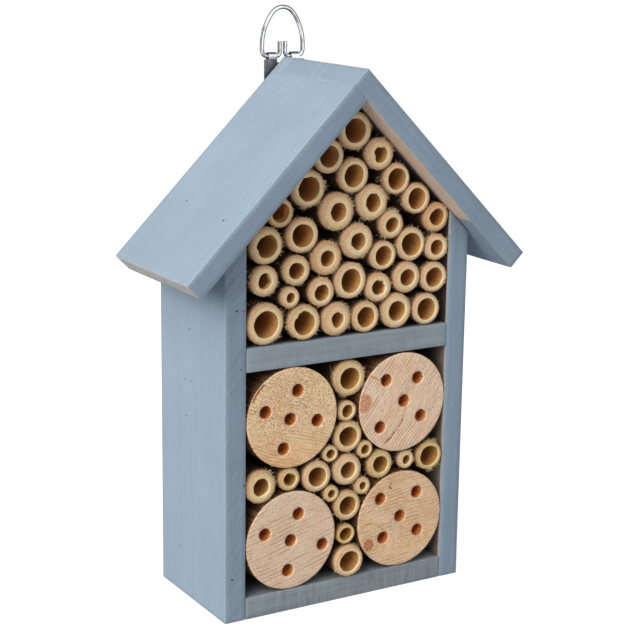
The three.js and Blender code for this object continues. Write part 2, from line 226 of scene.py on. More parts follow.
def painted_wood(name, look, seed):
    """Thin matt paint on planed softwood, with its grain along the board. Point attributes say
    where it is chipped ('edge'), unpainted ('bare'), thinly painted end grain ('thin'), the
    sawn end at the ridge ('ridge'), darkened by painted shade inside the house ('grime') or scuffed
    ('scuff')."""
    g = Graph(name)
    turn = (0, look["turn"], 0)
    paint = look["paint"]
    start = (seed * 37.0, seed * 11.0, seed * 23.0)
    even = g.place(turn, (1, 1, 1), start)
    streak = g.noise(g.place(turn, (30, 1, 1), start), 0.5, 3.0, 0.6)
    fibre = g.noise(g.place(turn, (12, 1, 1), start), 2.4, 2.0, 0.6)
    hair = g.noise(g.place(turn, (70, 1, 1), start), 1.3, 2.0, 0.7)
    cloud = g.noise(even, 0.022, 3.0, 0.6)
    grit = g.noise(even, 1.4, 3.0, 0.75)

    tone = g.add(g.times(streak, 0.5), g.add(g.times(fibre, 0.22), g.times(cloud, 0.5)))
    brushed = g.blend(g.step(tone, 0.42, 0.82), shaded(paint, 0.82), shaded(paint, 1.13))
    colour = g.blend(look["brushed"], paint, brushed)
    daub = g.noise(g.place((0, look["turn"] + 90, 0), (9, 1, 1), start), 0.55, 3.0, 0.6)
    colour = g.coats(
        colour,
        (daub, 0.45, 0.3, look["daubed"], shaded(paint, 0.78)),
        (daub, 0.55, 0.7, look["daubed"], shaded(paint, 1.18)),
        (hair, 0.60, 0.74, 0.14, shaded(paint, 1.25)),
        (grit, 0.64, 0.36, 0.14, shaded(paint, 0.8)),
    )

    speck = g.step(g.cells(even, 0.13), 0.035, 0.05, 1.0, 0.0)
    speck = g.times(speck, g.step(g.noise(even, 0.021, 1.0), 0.54, 0.6))
    colour = g.blend(g.times(speck, 0.65), colour, DUST)
    pore = g.step(g.cells(g.place(turn, (2.5, 1, 1), start), 0.16), 0.03, 0.045, 1.0, 0.0)
    pore = g.times(pore, g.step(g.noise(even, 0.03, 1.0), 0.56, 0.64))
    colour = g.blend(g.times(pore, 0.7), colour, shaded(paint, 0.62))

    ragged = g.add(g.times(g.noise(even, 0.5, 3.0, 0.7), 0.7), g.times(fibre, 0.5))
    chipped = g.step(g.add(g.attribute("edge"), ragged), 1.46, 1.6, 0.0, 0.5)
    colour = g.blend(chipped, colour, BARE_PALE)

    lines = g.noise(g.place((0, 0, 9), (40, 1, 40), start), 0.75, 1.0, 0.4)
    ridge = g.attribute("ridge")
    colour = g.blend(g.times(ridge, 0.8), colour, shaded(paint, 0.92))
    colour = g.blend(g.times(ridge, g.step(lines, 0.64, 0.74, 0.0, 0.2)), colour, DUST)

    thin = g.attribute("thin")
    patch = g.noise(g.place((0, 0, 0), (4, 1, 4), start), 0.3, 3.0, 0.7)
    end_wood = g.blend(g.step(patch, 0.42, 0.6), BARE_PALE, THIN_PAINT)
    end_wood = g.coats(
        end_wood,
        (grit, 0.62, 0.42, 0.4, shaded(THIN_PAINT, 0.78)),
        (patch, 0.62, 0.68, 0.5, DUST),
    )
    colour = g.blend(g.step(g.add(thin, g.times(ragged, 0.5)), 0.75, 1.0), colour, end_wood)

    wood_tone = g.add(g.times(hair, 0.6), g.times(streak, 0.5))
    wood = g.blend(g.step(wood_tone, 0.35, 0.75), BARE_WOOD, BARE_PALE)
    wood = g.blend(g.step(fibre, 0.52, 0.72, 0.0, 0.4), wood, shaded(BARE_WOOD, 0.82))
    bare = g.step(g.add(g.attribute("bare"), g.times(ragged, 0.5)), 0.8, 1.0)
    colour = g.blend(bare, colour, wood)

    scratch = g.noise(g.place((0, -52, 0), (14, 1, 1), start), 0.9, 3.0, 0.7)
    scuff = g.times(g.attribute("scuff"), g.step(g.add(g.times(scratch, 0.7), g.times(grit, 0.4)), 0.5, 0.68))
    colour = g.blend(g.times(scuff, 0.6), colour, SCUFF)
    # Painted shade: faces inside the house turn dark brown the further they lie behind the front.
    shade_share = g.step(g.add(g.attribute("painted_shade"), g.times(grit, 0.25)), 0.1, 1.12, 0.0, 0.97)
    colour = g.blend(shade_share, colour, PAINTED_SHADE_COLOUR)

    relief = g.add(g.times(fibre, 0.5), g.add(g.times(streak, 0.6), g.times(hair, 0.4)))
    relief = g.add(relief, g.add(g.times(grit, 0.5), g.times(pore, -0.8)))
    normal = g.bump(relief, look["brushed"] * 0.14 * MM)
    rough_wood = g.times(g.add(bare, thin), g.noise(g.place(turn, (6, 1, 1), start), 1.6, 4.0, 0.8))
    normal = g.bump(rough_wood, 0.35 * MM, normal)
    roughness = g.step(g.add(streak, bare), 0.3, 1.2, 0.66, 0.85)
    return g.finish(colour, roughness, normal)


def reed_material():
    """Cut reed. 'across' runs from 0 at the bore to 1 at the skin, 'depth' is millimetres
    behind the cut, 'seed' differs from reed to reed and 'tint' is its own shade."""
    g = Graph("reed")
    seed = g.attribute("seed")
    across = g.attribute("across")
    depth = g.attribute("depth")
    shift = g.node("ShaderNodeCombineXYZ", {"X": g.times(seed, 91.0), "Z": g.times(seed, 57.0)})
    even = g.node("ShaderNodeVectorMath", {0: g.place(), 1: shift}, operation="ADD")
    stretched = g.place((0, 0, 90), (22, 1, 1))
    lengthwise = g.node("ShaderNodeVectorMath", {0: stretched, 1: shift}, operation="ADD")

    cloud = g.noise(even, 0.3, 3.0, 0.6)
    grit = g.noise(even, 1.5, 3.0, 0.75)
    strand = g.noise(lengthwise, 1.1, 3.0, 0.65)
    bundles = g.cells(even, 1.5)

    wander = g.add(across, g.add(g.times(cloud, 0.30), g.times(grit, 0.22)))
    face = g.blend(g.step(wander, 0.26, 0.46), REED_RIM, REED_FACE)
    face = g.coats(
        face,
        (wander, 0.62, 1.0, 1.0, REED_BAND),
        (bundles, 0.30, 0.12, 0.5, REED_SKIN),
        (grit, 0.50, 0.66, 0.5, REED_RIM),
        (grit, 0.50, 0.32, 0.45, REED_SKIN),
        (g.add(across, g.times(grit, 0.1)), 0.2, 0.1, 0.5, REED_RIM),
    )

    skin = g.blend(g.step(strand, 0.35, 0.7), REED_SKIN, REED_BAND)
    # Painted shade: the skin darkens the deeper it lies behind the cut, where the reeds shade each other.
    shadowed = g.step(g.add(depth, g.times(strand, 2.0)), 2.5, 7.0, 0.0, 0.94)
    skin = g.blend(shadowed, skin, REED_GAP_SHADE)
    colour = g.blend(g.step(g.add(g.times(depth, 0.22), g.times(strand, 0.5)), 0.62, 1.1), face, skin)

    pith = g.blend(g.step(strand, 0.25, 0.85, 0.55, 0.15), REED_BORE, REED_BORE_DARK_AND_SHADE)
    pith = g.coats(
        pith,
        (cloud, 0.46, 0.66, 0.3, REED_BAND),
        # Painted shade: the bore darkens from 3 to 26 mm inside.
        (depth, 3.0, 26.0, 0.75, REED_BORE_DARK_AND_SHADE),
    )
    inside = g.times(g.step(across, 0.0, 0.02, 1.0, 0.0), g.step(depth, 0.35, 1.3))
    colour = g.blend(inside, colour, pith)

    spot_field = g.cells(even, 0.16)
    spot = g.step(g.add(spot_field, g.times(grit, 0.04)), 0.075, 0.105, 1.0, 0.0)
    spot = g.times(spot, g.step(g.noise(even, 0.09, 1.0), 0.56, 0.62))
    colour = g.blend(g.times(spot, 0.8), colour, REED_SPOT)

    tint = g.attribute("tint")
    colour = g.blend(g.step(tint, 0.5, 1.0, 0.0, 0.55), colour, REED_GREEN, "MULTIPLY")
    colour = g.blend(g.step(tint, 0.5, 0.0, 0.0, 0.45), colour, REED_PINK, "MULTIPLY")

    height = g.add(g.times(grit, 0.9), g.add(g.times(bundles, 0.4), g.times(strand, 0.35)))
    height = g.add(height, g.times(spot, -0.8))
    normal = g.bump(height, 0.3 * MM)
    return g.finish(colour, g.step(grit, 0.2, 0.8, 0.7, 0.9), normal, specular=0.2)


def fibre_material():
    g = Graph("reed_fibre")
    tone = g.noise(g.place(), 0.4, 2.0)
    colour = g.blend(g.step(tone, 0.35, 0.65), REED_FACE, FIBRE)
    return g.finish(colour, 0.8, specular=0.2)


def log_material(name, look):
    """A sawn log end. Point attributes: 'side' is 1 on the round side and partly on the broken
    edge, 'hole' is 1 inside a drilled hole, 'rim' close round it, 'knot', 'arc' (a dark growth
    ring) and 'crack' as named, 'bark' where bark is left on."""
    g = Graph(name)
    even = g.place()
    pith_x, pith_z = look["pith"]
    from_pith = g.place((0, 0, 0), (1, 1e6, 1), (pith_x, 0, pith_z))
    from_pith_x, _, from_pith_z = g.parts(from_pith)
    turn = (0, look["saw_angle"], 0)
    cloud = g.noise(even, 0.07, 3.0, 0.6)
    wavy = g.noise(even, 0.10, 3.0, 0.55)
    grit = g.noise(even, 1.5, 2.0, 0.7)
    fleck = g.noise(g.place(turn, (9, 1, 1)), 1.7, 2.0, 0.6)

    distance = g.add(g.length(from_pith), g.times(wavy, 2.5))
    rings = g.math("SINE", g.times(distance, 2 * math.pi / look["ring_width"]))
    rings = g.times(g.step(rings, 0.0, 1.0), g.step(g.noise(even, 0.11, 2.0), 0.36, 0.62))
    _, _, sawn_z = g.parts(g.place(turn))
    tremble = g.times(g.noise(g.place(turn, (9, 1, 1)), 0.7, 1.0), 0.5)
    drift = g.add(g.times(g.noise(even, 0.035, 1.0), 4.0), tremble)
    saw = g.math("SINE", g.times(g.add(sawn_z, drift), 2 * math.pi / look["saw_gap"]))
    patch = g.step(g.noise(g.place(turn, (4, 1, 1)), 0.22, 3.0, 0.6), 0.38, 0.60)
    saw = g.times(g.step(saw, 0.1, 0.95), patch)

    colour = g.blend(g.step(cloud, 0.38, 0.62), look["wood"], look["wood_warm"])
    colour = g.blend(g.times(rings, look["ring_strength"]), colour, look["ring"])
    colour = g.blend(g.times(saw, look["saw_strength"]), colour, look["line"])
    colour = g.coats(
        colour,
        (fleck, 0.50, 0.34, look["fleck"], look["line"]),
        (fleck, 0.50, 0.68, look["fleck"], look["pale"]),
        (grit, 0.47, 0.32, look["grit"], look["speck"]),
        (grit, 0.53, 0.70, look["grit"], look["pale"]),
    )

    _, _, height_up = g.parts(even)
    pores_above = look["pores_above"]
    crowded = g.step(g.add(height_up, g.times(cloud, 24.0)), pores_above + 6, pores_above + 18)
    elsewhere = g.step(g.noise(even, 0.06, 2.0, 0.5), 0.56, 0.64, 0.0, look["scattered"])
    crowded = g.math("MAXIMUM", crowded, elsewhere)
    pores = g.times(g.step(g.cells(even, 1.05), 0.2, 0.42, 1.0, 0.0), crowded)
    colour = g.blend(g.times(g.step(grit, 0.45, 0.6), g.times(crowded, 0.7)), colour, look["pale"])
    colour = g.blend(g.times(pores, 0.8), colour, look["speck"])

    def marked(attribute, grit_share):
        """A point attribute with its edges broken up by the grit."""
        return g.add(g.attribute(attribute), g.times(grit, grit_share))

    bearing = g.math("ARCTAN2", from_pith_z, from_pith_x)
    star = g.math("SINE", g.add(g.times(bearing, 7.0), g.times(grit, 5.0)))
    knot_rings = g.math("SINE", g.times(distance, 2 * math.pi / 1.7))
    lighter = g.blend(0.45, look["knot_dark"], look["wood_warm"])
    knot_tone = g.blend(g.step(knot_rings, -0.4, 0.8), look["knot_dark"], lighter)
    knot_tone = g.blend(g.step(star, 0.2, 0.8, 0.0, look["star"]), knot_tone, look["crack"])
    fibre = g.noise(g.place((0, 0, 90), (20, 1, 1)), 0.6, 3.0, 0.65)
    round_side = g.blend(g.step(fibre, 0.35, 0.65), LOG_SIDE_DARK, LOG_SIDE)
    bark = g.blend(g.step(grit, 0.4, 0.6), shaded(BARK, 0.75), BARK)
    bored = g.blend(g.step(g.noise(even, 0.5, 3.0, 0.7), 0.36, 0.64), LOG_HOLE_DEEP, LOG_HOLE)
    colour = g.coats(
        colour,
        (marked("bright", 0.3), 0.35, 0.95, 0.7, look["pale"]),
        (marked("arc", 0.3), 0.35, 0.95, 0.75, look["knot_dark"]),
        (marked("knot", 0.3), 0.45, 0.8, 0.85, knot_tone),
        (marked("crack", 0.3), 0.45, 0.85, 0.8, look["crack"]),
        (marked("side", 0.6), 0.75, 1.2, 1.0, round_side),
        (marked("bark", 0.7), 0.7, 1.0, 0.9, bark),
        (marked("hole", 0.25), 0.4, 0.75, 1.0, bored),
        (marked("rim", 0.9), 0.95, 1.45, 0.5, look["pale"]),
    )

    height = g.add(g.times(saw, -0.7), g.add(g.times(fleck, 0.8), g.times(grit, 1.0)))
    height = g.add(height, g.times(pores, -0.5))
    height = g.add(height, g.times(fibre, g.times(g.attribute("side"), 1.5)))
    normal = g.bump(height, 0.3 * MM)
    return g.finish(colour, g.step(grit, 0.2, 0.8, 0.75, 0.92), normal, specular=0.2)


def metal(name, colour, roughness, scratch_turn, scratch_depth, polish_and_highlight_above=1e6):
    """Bare metal with fine scratches and a little tarnish; above a height in mm it is glossier
    and painted near white there, a painted highlight.
    """
    g = Graph(name)
    scratch = g.noise(g.place(scratch_turn, (30, 1, 1)), 2.5, 2.0, 0.7)
    cloud = g.noise(g.place(), 0.25, 3.0, 0.6)
    _, _, height = g.parts(g.place())
    # Painted highlight: above the height the colour turns near white and the metal glossier.
    polish_and_highlight = g.step(height, polish_and_highlight_above - 0.5, polish_and_highlight_above + 0.5)
    shade = g.blend(g.step(cloud, 0.4, 0.75), colour, shaded(colour, 0.72))
    shade = g.blend(polish_and_highlight, shade, WIRE)
    wear = g.add(g.times(cloud, 0.6), g.times(scratch, 0.4))
    gloss = g.step(wear, 0.3, 0.7, roughness, roughness * 1.6)
    gloss = g.times(gloss, g.step(polish_and_highlight, 0.0, 1.0, 1.0, 0.4))
    normal = g.bump(scratch, scratch_depth)
    return g.finish(shade, gloss, normal, metallic=1.0)


def brad_material():
    """Small sunk nail heads with paint round their edges."""
    g = Graph("brad_head")
    grit = g.noise(g.place(), 3.0, 2.0, 0.7)
    shade = g.blend(g.step(grit, 0.45, 0.62), BRAD, shaded(PAINT, 0.6))
    return g.finish(shade, 0.6, g.bump(grit, 0.05 * MM), metallic=0.4)


def floor_material():
    """A pale sweep that also glows a little, as a light table does, so that shadows stay soft."""
    g = Graph("pale_floor")
    diffuse = g.node("ShaderNodeBsdfDiffuse", {"Color": linear(FLOOR)})
    glow = g.node("ShaderNodeEmission", {"Color": (1, 1, 1, 1), "Strength": 1.3})
    both = g.node("ShaderNodeMixShader", {0: 0.72, 1: diffuse, 2: glow})
    g.node("ShaderNodeOutputMaterial", {"Surface": both}, None)
    return g.material


# ---------------------------------------------------------------- mesh helpers


def add_piece(name, mesh, body, material, stands_for=()):
    """Puts a finished mesh in the scene, riding on a body in place of the CAD nodes."""
    piece = bpy.data.objects.new(name, mesh)
    bpy.context.scene.collection.objects.link(piece)
    mesh.materials.clear()
    mesh.materials.append(material)
    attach(piece, body)
    if stands_for:
        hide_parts(*stands_for)


def give_attribute(mesh, name, values):
    attribute = mesh.attributes.new(name, "FLOAT", "POINT")
    attribute.data.foreach_set("value", values)


def shade_smooth(mesh):
    mesh.polygons.foreach_set("use_smooth", [True] * len(mesh.polygons))
    mesh.update()


def join_rows(made, rows):
    """Faces between each closed row of a bmesh's vertices and the next."""
    for before, after in zip(rows, rows[1:]):
        for i in range(len(before)):
            following = (i + 1) % len(before)
            made.faces.new((before[i], before[following], after[following], after[i]))


def finished_mesh(made, name):
    """A mesh from a bmesh, with its faces turned outward."""
    bmesh.ops.recalc_face_normals(made, faces=made.faces)
    mesh = bpy.data.meshes.new(name)
    made.to_mesh(mesh)
    made.free()
    return mesh


def repaint(node, material):
    """Gives a CAD node that is shown as it is its own material."""
    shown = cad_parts[node]
    shown.data.materials.clear()
    shown.data.materials.append(material)
    return shown


def weld(shown):
    modifier = shown.modifiers.new("weld", "WELD")
    modifier.merge_threshold = SAME_PLACE


def round_edges(shown, width, sharper_than=30):
    """Rounds the edges that turn by more than an angle in degrees."""
    rounding = shown.modifiers.new("rounding", "BEVEL")
    rounding.width = width
    rounding.segments = 2
    rounding.limit_method = "ANGLE"
    rounding.angle_limit = math.radians(sharper_than)


def step(value, low, high):
    """0 below low, 1 above high and smooth between."""
    share = min(max((value - low) / (high - low), 0.0), 1.0)
    return share * share * (3 - 2 * share)


def ripple(x, y, z, seed=0.0):
    """Smooth noise from about -1 to 1, with features about one unit across."""
    return noise.noise(Vector((x + seed * 7.31, y - seed * 3.17, z + seed * 5.93)))


def cad_mesh(node):
    """A CAD node's own mesh as a bmesh with its flat faces whole again."""
    made = bmesh.new()
    made.from_mesh(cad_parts[node].data)
    bmesh.ops.remove_doubles(made, verts=made.verts, dist=SAME_PLACE)
    bmesh.ops.dissolve_limit(made, angle_limit=math.radians(1), verts=made.verts, edges=made.edges)
    return made


# ---------------------------------------------------------------- the boards

UP = Vector((0, 0, 1))
RIGHT = Vector((1, 0, 0))
BACK = Vector((0, 1, 0))
LEFT_SLOPE = Vector((1, 0, 1)).normalized()
RIGHT_SLOPE = Vector((1, 0, -1)).normalized()
OUT_OF_LEFT_ROOF = Vector((-1, 0, 1)).normalized()
CELL = 2.4 * MM
EDGE_ROUND = 0.4 * MM
BEAD_INSET = 0.6 * MM

# Each board's grain direction, the turn in degrees that lays it along X, its paint, how strongly
# the brush marks along and across it show, and how far its two ends reach into their joints.
BOARD_LOOKS = {
    "left_wall": {"grain": UP, "turn": -90, "paint": PAINT, "brushed": 0.22, "daubed": 0.08, "ends": (0, 0)},
    "right_wall": {"grain": UP, "turn": -90, "paint": PAINT, "brushed": 0.25, "daubed": 0.08, "ends": (0, 0)},
    "floor_board": {
        "grain": RIGHT, "turn": 0, "paint": PAINT_WORN, "brushed": 0.5, "daubed": 0.5, "ends": (0.2, 0.2),
    },
    "shelf": {
        "grain": RIGHT, "turn": 0, "paint": PAINT_GREYER, "brushed": 0.4, "daubed": 0.2, "ends": (0.2, 0.2),
    },
    "left_roof_board": {
        "grain": LEFT_SLOPE, "turn": -45, "paint": PAINT, "brushed": 0.22, "daubed": 0.08, "ends": (0, 0.24),
    },
    "right_roof_board": {
        "grain": RIGHT_SLOPE, "turn": 45, "paint": PAINT, "brushed": 0.3, "daubed": 0.12, "ends": (0, 0),
    },
}
# Attributes for wear, and one for the painted shade inside the house.
WEAR_AND_SHADE_MASKS = ("bare", "thin", "ridge", "scuff", "painted_shade")
BEAD_PAINT_SEED = 8


def slice_up(made, direction, cell):
    """Cuts the mesh with planes square to a direction, a cell apart."""
    places = [vert.co.dot(direction) for vert in made.verts]
    low, high = min(places), max(places)
    cuts = int((high - low) / cell)
    for i in range(1, cuts):
        at = direction * (low + (high - low) * i / cuts)
        everything = [*made.verts, *made.edges, *made.faces]
        bmesh.ops.bisect_plane(made, geom=everything, plane_co=at, plane_no=direction)


def worn_board(node, seed, masks):
    """A board with rounded, nicked edges and slightly uneven faces, cut from its CAD node."""
    look = BOARD_LOOKS[node]
    grain = look["grain"]
    made = cad_mesh(node)
    bmesh.ops.bevel(made, geom=made.edges[:], offset=EDGE_ROUND, segments=2, profile=0.5, affect="EDGES")
    across = grain.cross(BACK)
    for direction in (grain, across, BACK):
        slice_up(made, direction, CELL)
    made.normal_update()

    mesh = bpy.data.meshes.new(node + "_board")
    values = {name: [] for name in ("edge", *WEAR_AND_SHADE_MASKS)}
    for vert in made.verts:
        normal = vert.normal
        x, y, z = vert.co / MM
        square = max(abs(normal.dot(grain)), abs(normal.dot(across)), abs(normal.dot(BACK)))
        edge = step(square, 0.995, 0.9)
        along, aside = vert.co.dot(grain) / MM, vert.co.dot(across) / MM
        uneven = ripple(along / 60, aside / 9, y / 9, seed)
        rough = ripple(along / 7, aside / 2.2, y / 2.2, seed + 1)
        inward = 0.05 * (1 + uneven) + 0.03 * (1 + rough)
        nick = step(ripple(x / 5, y / 5, z / 5, seed + 2), 0.45, 0.8)
        inward += edge * (0.06 * (1 + ripple(x / 11, y / 11, z / 11, seed + 3)) + 0.4 * nick)
        vert.co -= normal * inward * MM
        facing = normal.dot(grain)
        vert.co += grain * math.copysign(look["ends"][facing > 0], facing) * step(abs(facing), 0.3, 0.7) * MM
        values["edge"].append(edge)
        for name in WEAR_AND_SHADE_MASKS:
            values[name].append(masks[name](x, y, z, normal) if name in masks else 0.0)
    made.to_mesh(mesh)
    made.free()
    for name, numbers in values.items():
        give_attribute(mesh, name, numbers)
    shade_smooth(mesh)
    material = painted_wood(node + "_paint", look, seed)
    add_piece(node + "_board", mesh, "house", material, [node])


def paint_bead(name, start, along, length, out, seed):
    """A low strip of paint, sunk just under the surface, that fills the joint between two boards."""
    half_width, deep, pitch = 0.8 * MM, 0.35 * MM, 0.45 * MM
    aside = along.cross(out)
    steps = int(length / pitch)
    made = bmesh.new()
    rows = []
    for i in range(steps + 1):
        gap = step(ripple(i / 3.5, 4, 0, seed + 1), 0.4, 0.7)
        sunk = 0.04 + 0.03 * ripple(i / 9, 0, 0, seed) + 0.4 * gap
        top = start + along * (length * i / steps) - out * sunk * MM
        corners = [top - aside * half_width, top + aside * half_width]
        corners += [corners[1] - out * deep, corners[0] - out * deep]
        rows.append([made.verts.new(corner) for corner in corners])
    join_rows(made, rows)
    made.faces.new(rows[0])
    made.faces.new(reversed(rows[-1]))
    material = painted_wood(name, BOARD_LOOKS["left_roof_board"], BEAD_PAINT_SEED)
    add_piece(name, finished_mesh(made, name), "house", material)


def ridge_beads():
    """Paint over the joint at the ridge, along the top and down the front."""
    left_low, left_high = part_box("left_roof_board")
    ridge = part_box("right_roof_board")[1].z
    joint = Vector((left_high.z - ridge, left_low.y, left_high.z))
    along_top = left_high.y - left_low.y - 2 * BEAD_INSET
    down_front = (left_high.x - joint.x) * math.sqrt(2) - 2 * BEAD_INSET
    top_start = joint + BACK * BEAD_INSET
    front_start = joint + RIGHT_SLOPE * BEAD_INSET
    paint_bead("ridge_paint_bead", top_start, BACK, along_top, OUT_OF_LEFT_ROOF, 71)
    paint_bead("gable_paint_bead", front_start, RIGHT_SLOPE, down_front, -BACK, 73)


def panel_beads():
    """Paint in the joints round the back panel, which keeps light out of the rooms."""
    low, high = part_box("back_panel")
    wall_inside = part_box("right_wall")[0].x
    wall_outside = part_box("right_wall")[1].x
    roof_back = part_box("right_roof_board")[1].y
    middle = (high.x + wall_inside) / 2
    tall = high.z - high.x - low.z - 2 * BEAD_INSET
    joint_up = (wall_inside - high.x) / math.sqrt(2)
    down_slope = wall_outside * math.sqrt(2) - BEAD_INSET
    top = Vector((0, roof_back - BEAD_INSET, high.z + joint_up))
    for i, (side, down) in enumerate(((-1, -LEFT_SLOPE), (1, RIGHT_SLOPE))):
        foot = Vector((side * middle, high.y, low.z + BEAD_INSET))
        paint_bead(f"panel_side_bead_{i}", foot, UP, tall, BACK, 75 + 2 * i)
        paint_bead(f"panel_roof_bead_{i}", top + down * BEAD_INSET, down, down_slope, BACK, 79 + 2 * i)


def boards():
    wall_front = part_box("left_wall")[0].y / MM
    inner = abs(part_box("left_wall")[1].x) / MM
    shelf_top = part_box("shelf")[1].z / MM
    wall_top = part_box("left_wall")[1].z / MM
    eave_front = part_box("left_roof_board")[0].y / MM

    def bare_underside(x, y, z, normal):
        """The underside of the roof was left bare between the walls."""
        below = step(-normal.z, 0.62, 0.7)
        inside = step(abs(x), inner + 16, inner - 6)
        return below * (0.15 + 0.85 * inside)

    def thin_eave(x, y, z, normal):
        return step(-normal.x - normal.z, 1.2, 1.38)

    def bare_left_roof(x, y, z, normal):
        """The eave's front corner is chipped down to the wood."""
        corner = thin_eave(x, y, z, normal) * step(y, eave_front + 13, eave_front + 2)
        return max(bare_underside(x, y, z, normal), 0.62 * corner)

    def ridge_end(x, y, z, normal):
        return step(normal.z - normal.x, 1.2, 1.38)

    def inner_shade(x, y, z, normal):
        """Painted shade behind the front, black in the upper bay and lighter below the shelf."""
        depth = y - wall_front
        if z > shelf_top:
            return step(depth, 0.2, 2.5)
        return step(depth, 0.0, 1.5) * (0.66 + 0.28 * step(depth, 3, 20))

    def bare_inside(x, y, z, normal):
        """The walls were left bare inside the house."""
        return step(-normal.x * math.copysign(1, x), 0.6, 0.9) * step(y, wall_front + 0.1, wall_front + 0.7)

    # Painted shade on the inner faces of the walls, on the floor and shelf and under the roof, darker behind
    # the front.
    def wall_shade(x, y, z, normal):
        return step(-normal.x * math.copysign(1, x), 0.6, 0.9) * inner_shade(x, y, z, normal)

    def cross_shade(x, y, z, normal):
        return step(abs(normal.z), 0.6, 0.9) * step(y - wall_front, 0.3, 7) * 0.9

    def roof_shade(x, y, z, normal):
        return step(-normal.z, 0.62, 0.7) * step(y - wall_front, 0, 5) * step(abs(x), inner + 2, inner)

    def floor_shade(x, y, z, normal):
        return step(abs(normal.z), 0.6, 0.9) * step(y - wall_front, 2, 32) * 0.9

    def left_scuff(x, y, z, normal):
        """Scratches on the front of the wall, close under the roof."""
        return step(-normal.y, 0.6, 0.9) * (0.3 + 0.7 * step(z, wall_top - 42, wall_top - 8))

    def right_scuff(x, y, z, normal):
        return step(-normal.y, 0.6, 0.9) * step(z, wall_top - 20, wall_top - 4)

    worn_board("left_wall", 1, {"bare": bare_inside, "painted_shade": wall_shade, "scuff": left_scuff})
    worn_board("right_wall", 2, {"bare": bare_inside, "painted_shade": wall_shade, "scuff": right_scuff})
    worn_board("floor_board", 3, {"painted_shade": floor_shade})
    worn_board("shelf", 4, {"painted_shade": cross_shade})
    worn_board("left_roof_board", 5, {"bare": bare_left_roof, "thin": thin_eave, "painted_shade": roof_shade})
    worn_board("right_roof_board", 6, {"bare": bare_underside, "ridge": ridge_end, "painted_shade": roof_shade})

    ridge_beads()
    panel_beads()

    panel = repaint("back_panel", painted_wood("back_panel_paint", BOARD_LOOKS["left_wall"], 7))
    round_edges(panel, EDGE_ROUND)


# ---------------------------------------------------------------- reading the CAD reeds and logs


def front_outlines(node):
    """The closed outlines of a node's flat front face, each a list of (x, z) in metres."""
    made = bmesh.new()
    made.from_mesh(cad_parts[node].data)
    bmesh.ops.remove_doubles(made, verts=made.verts, dist=SAME_PLACE)
    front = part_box(node)[0].y
    flat = {face for face in made.faces if all(vert.co.y < front + 1e-5 for vert in face.verts)}
    rim = {edge for edge in made.edges if len(flat.intersection(edge.link_faces)) == 1}
    outlines = []
    while rim:
        edge = rim.pop()
        start, vert = edge.verts
        points = [start]
        while vert is not start:
            points.append(vert)
            edge = next(other for other in vert.link_edges if other in rim)
            rim.discard(edge)
            vert = edge.other_vert(vert)
        outlines.append([(point.co.x, point.co.z) for point in points])
    made.free()
    return outlines


def read_holes(node):
    """The holes in a node's front as (x, z, hole radius, radius of the solid round it)."""
    outlines = sorted(front_outlines(node), key=lambda points: max(points)[0] - min(points)[0])
    outer = outlines.pop()
    holes = []
    for points in outlines:
        x = sum(point[0] for point in points) / len(points)
        z = sum(point[1] for point in points) / len(points)
        bore = math.dist(points[0], (x, z))
        outside = min(math.dist(point, (x, z)) for point in outer)
        holes.append((x, z, bore, outside))
    return sorted(holes, key=lambda hole: (-round(hole[3], 3), hole[0]))


# ---------------------------------------------------------------- the reeds

REED_SIDES = 44
# The cut end as (share of the way from bore to skin, millimetres behind the cut).
BORE_PROFILE = [(0, depth) for depth in (34, 22, 14, 9, 7, 5.4, 4.2, 3.2, 2.4, 1.7, 1.1, 0.6)]
FACE_PROFILE = [
    (0.01, 0.25), (0.05, 0.08), (0.11, 0.01), (0.2, 0), (0.32, 0.0), (0.44, 0.03), (0.56, 0.1),
    (0.67, 0.2), (0.77, 0.38), (0.86, 0.68), (0.93, 1.1), (0.98, 1.8), (1, 2.8),
]
SKIN_PROFILE = [(1, depth) for depth in (4.5, 7, 12, 20, 32, 48)]
BACK_ROUND = 1.0
# Torn fibres round a reed of 8 mm radius, round a drilled hole and round a log's edge.
FRAY_STRANDS = 120
HOLE_STRANDS = 14
EDGE_STRANDS = 200

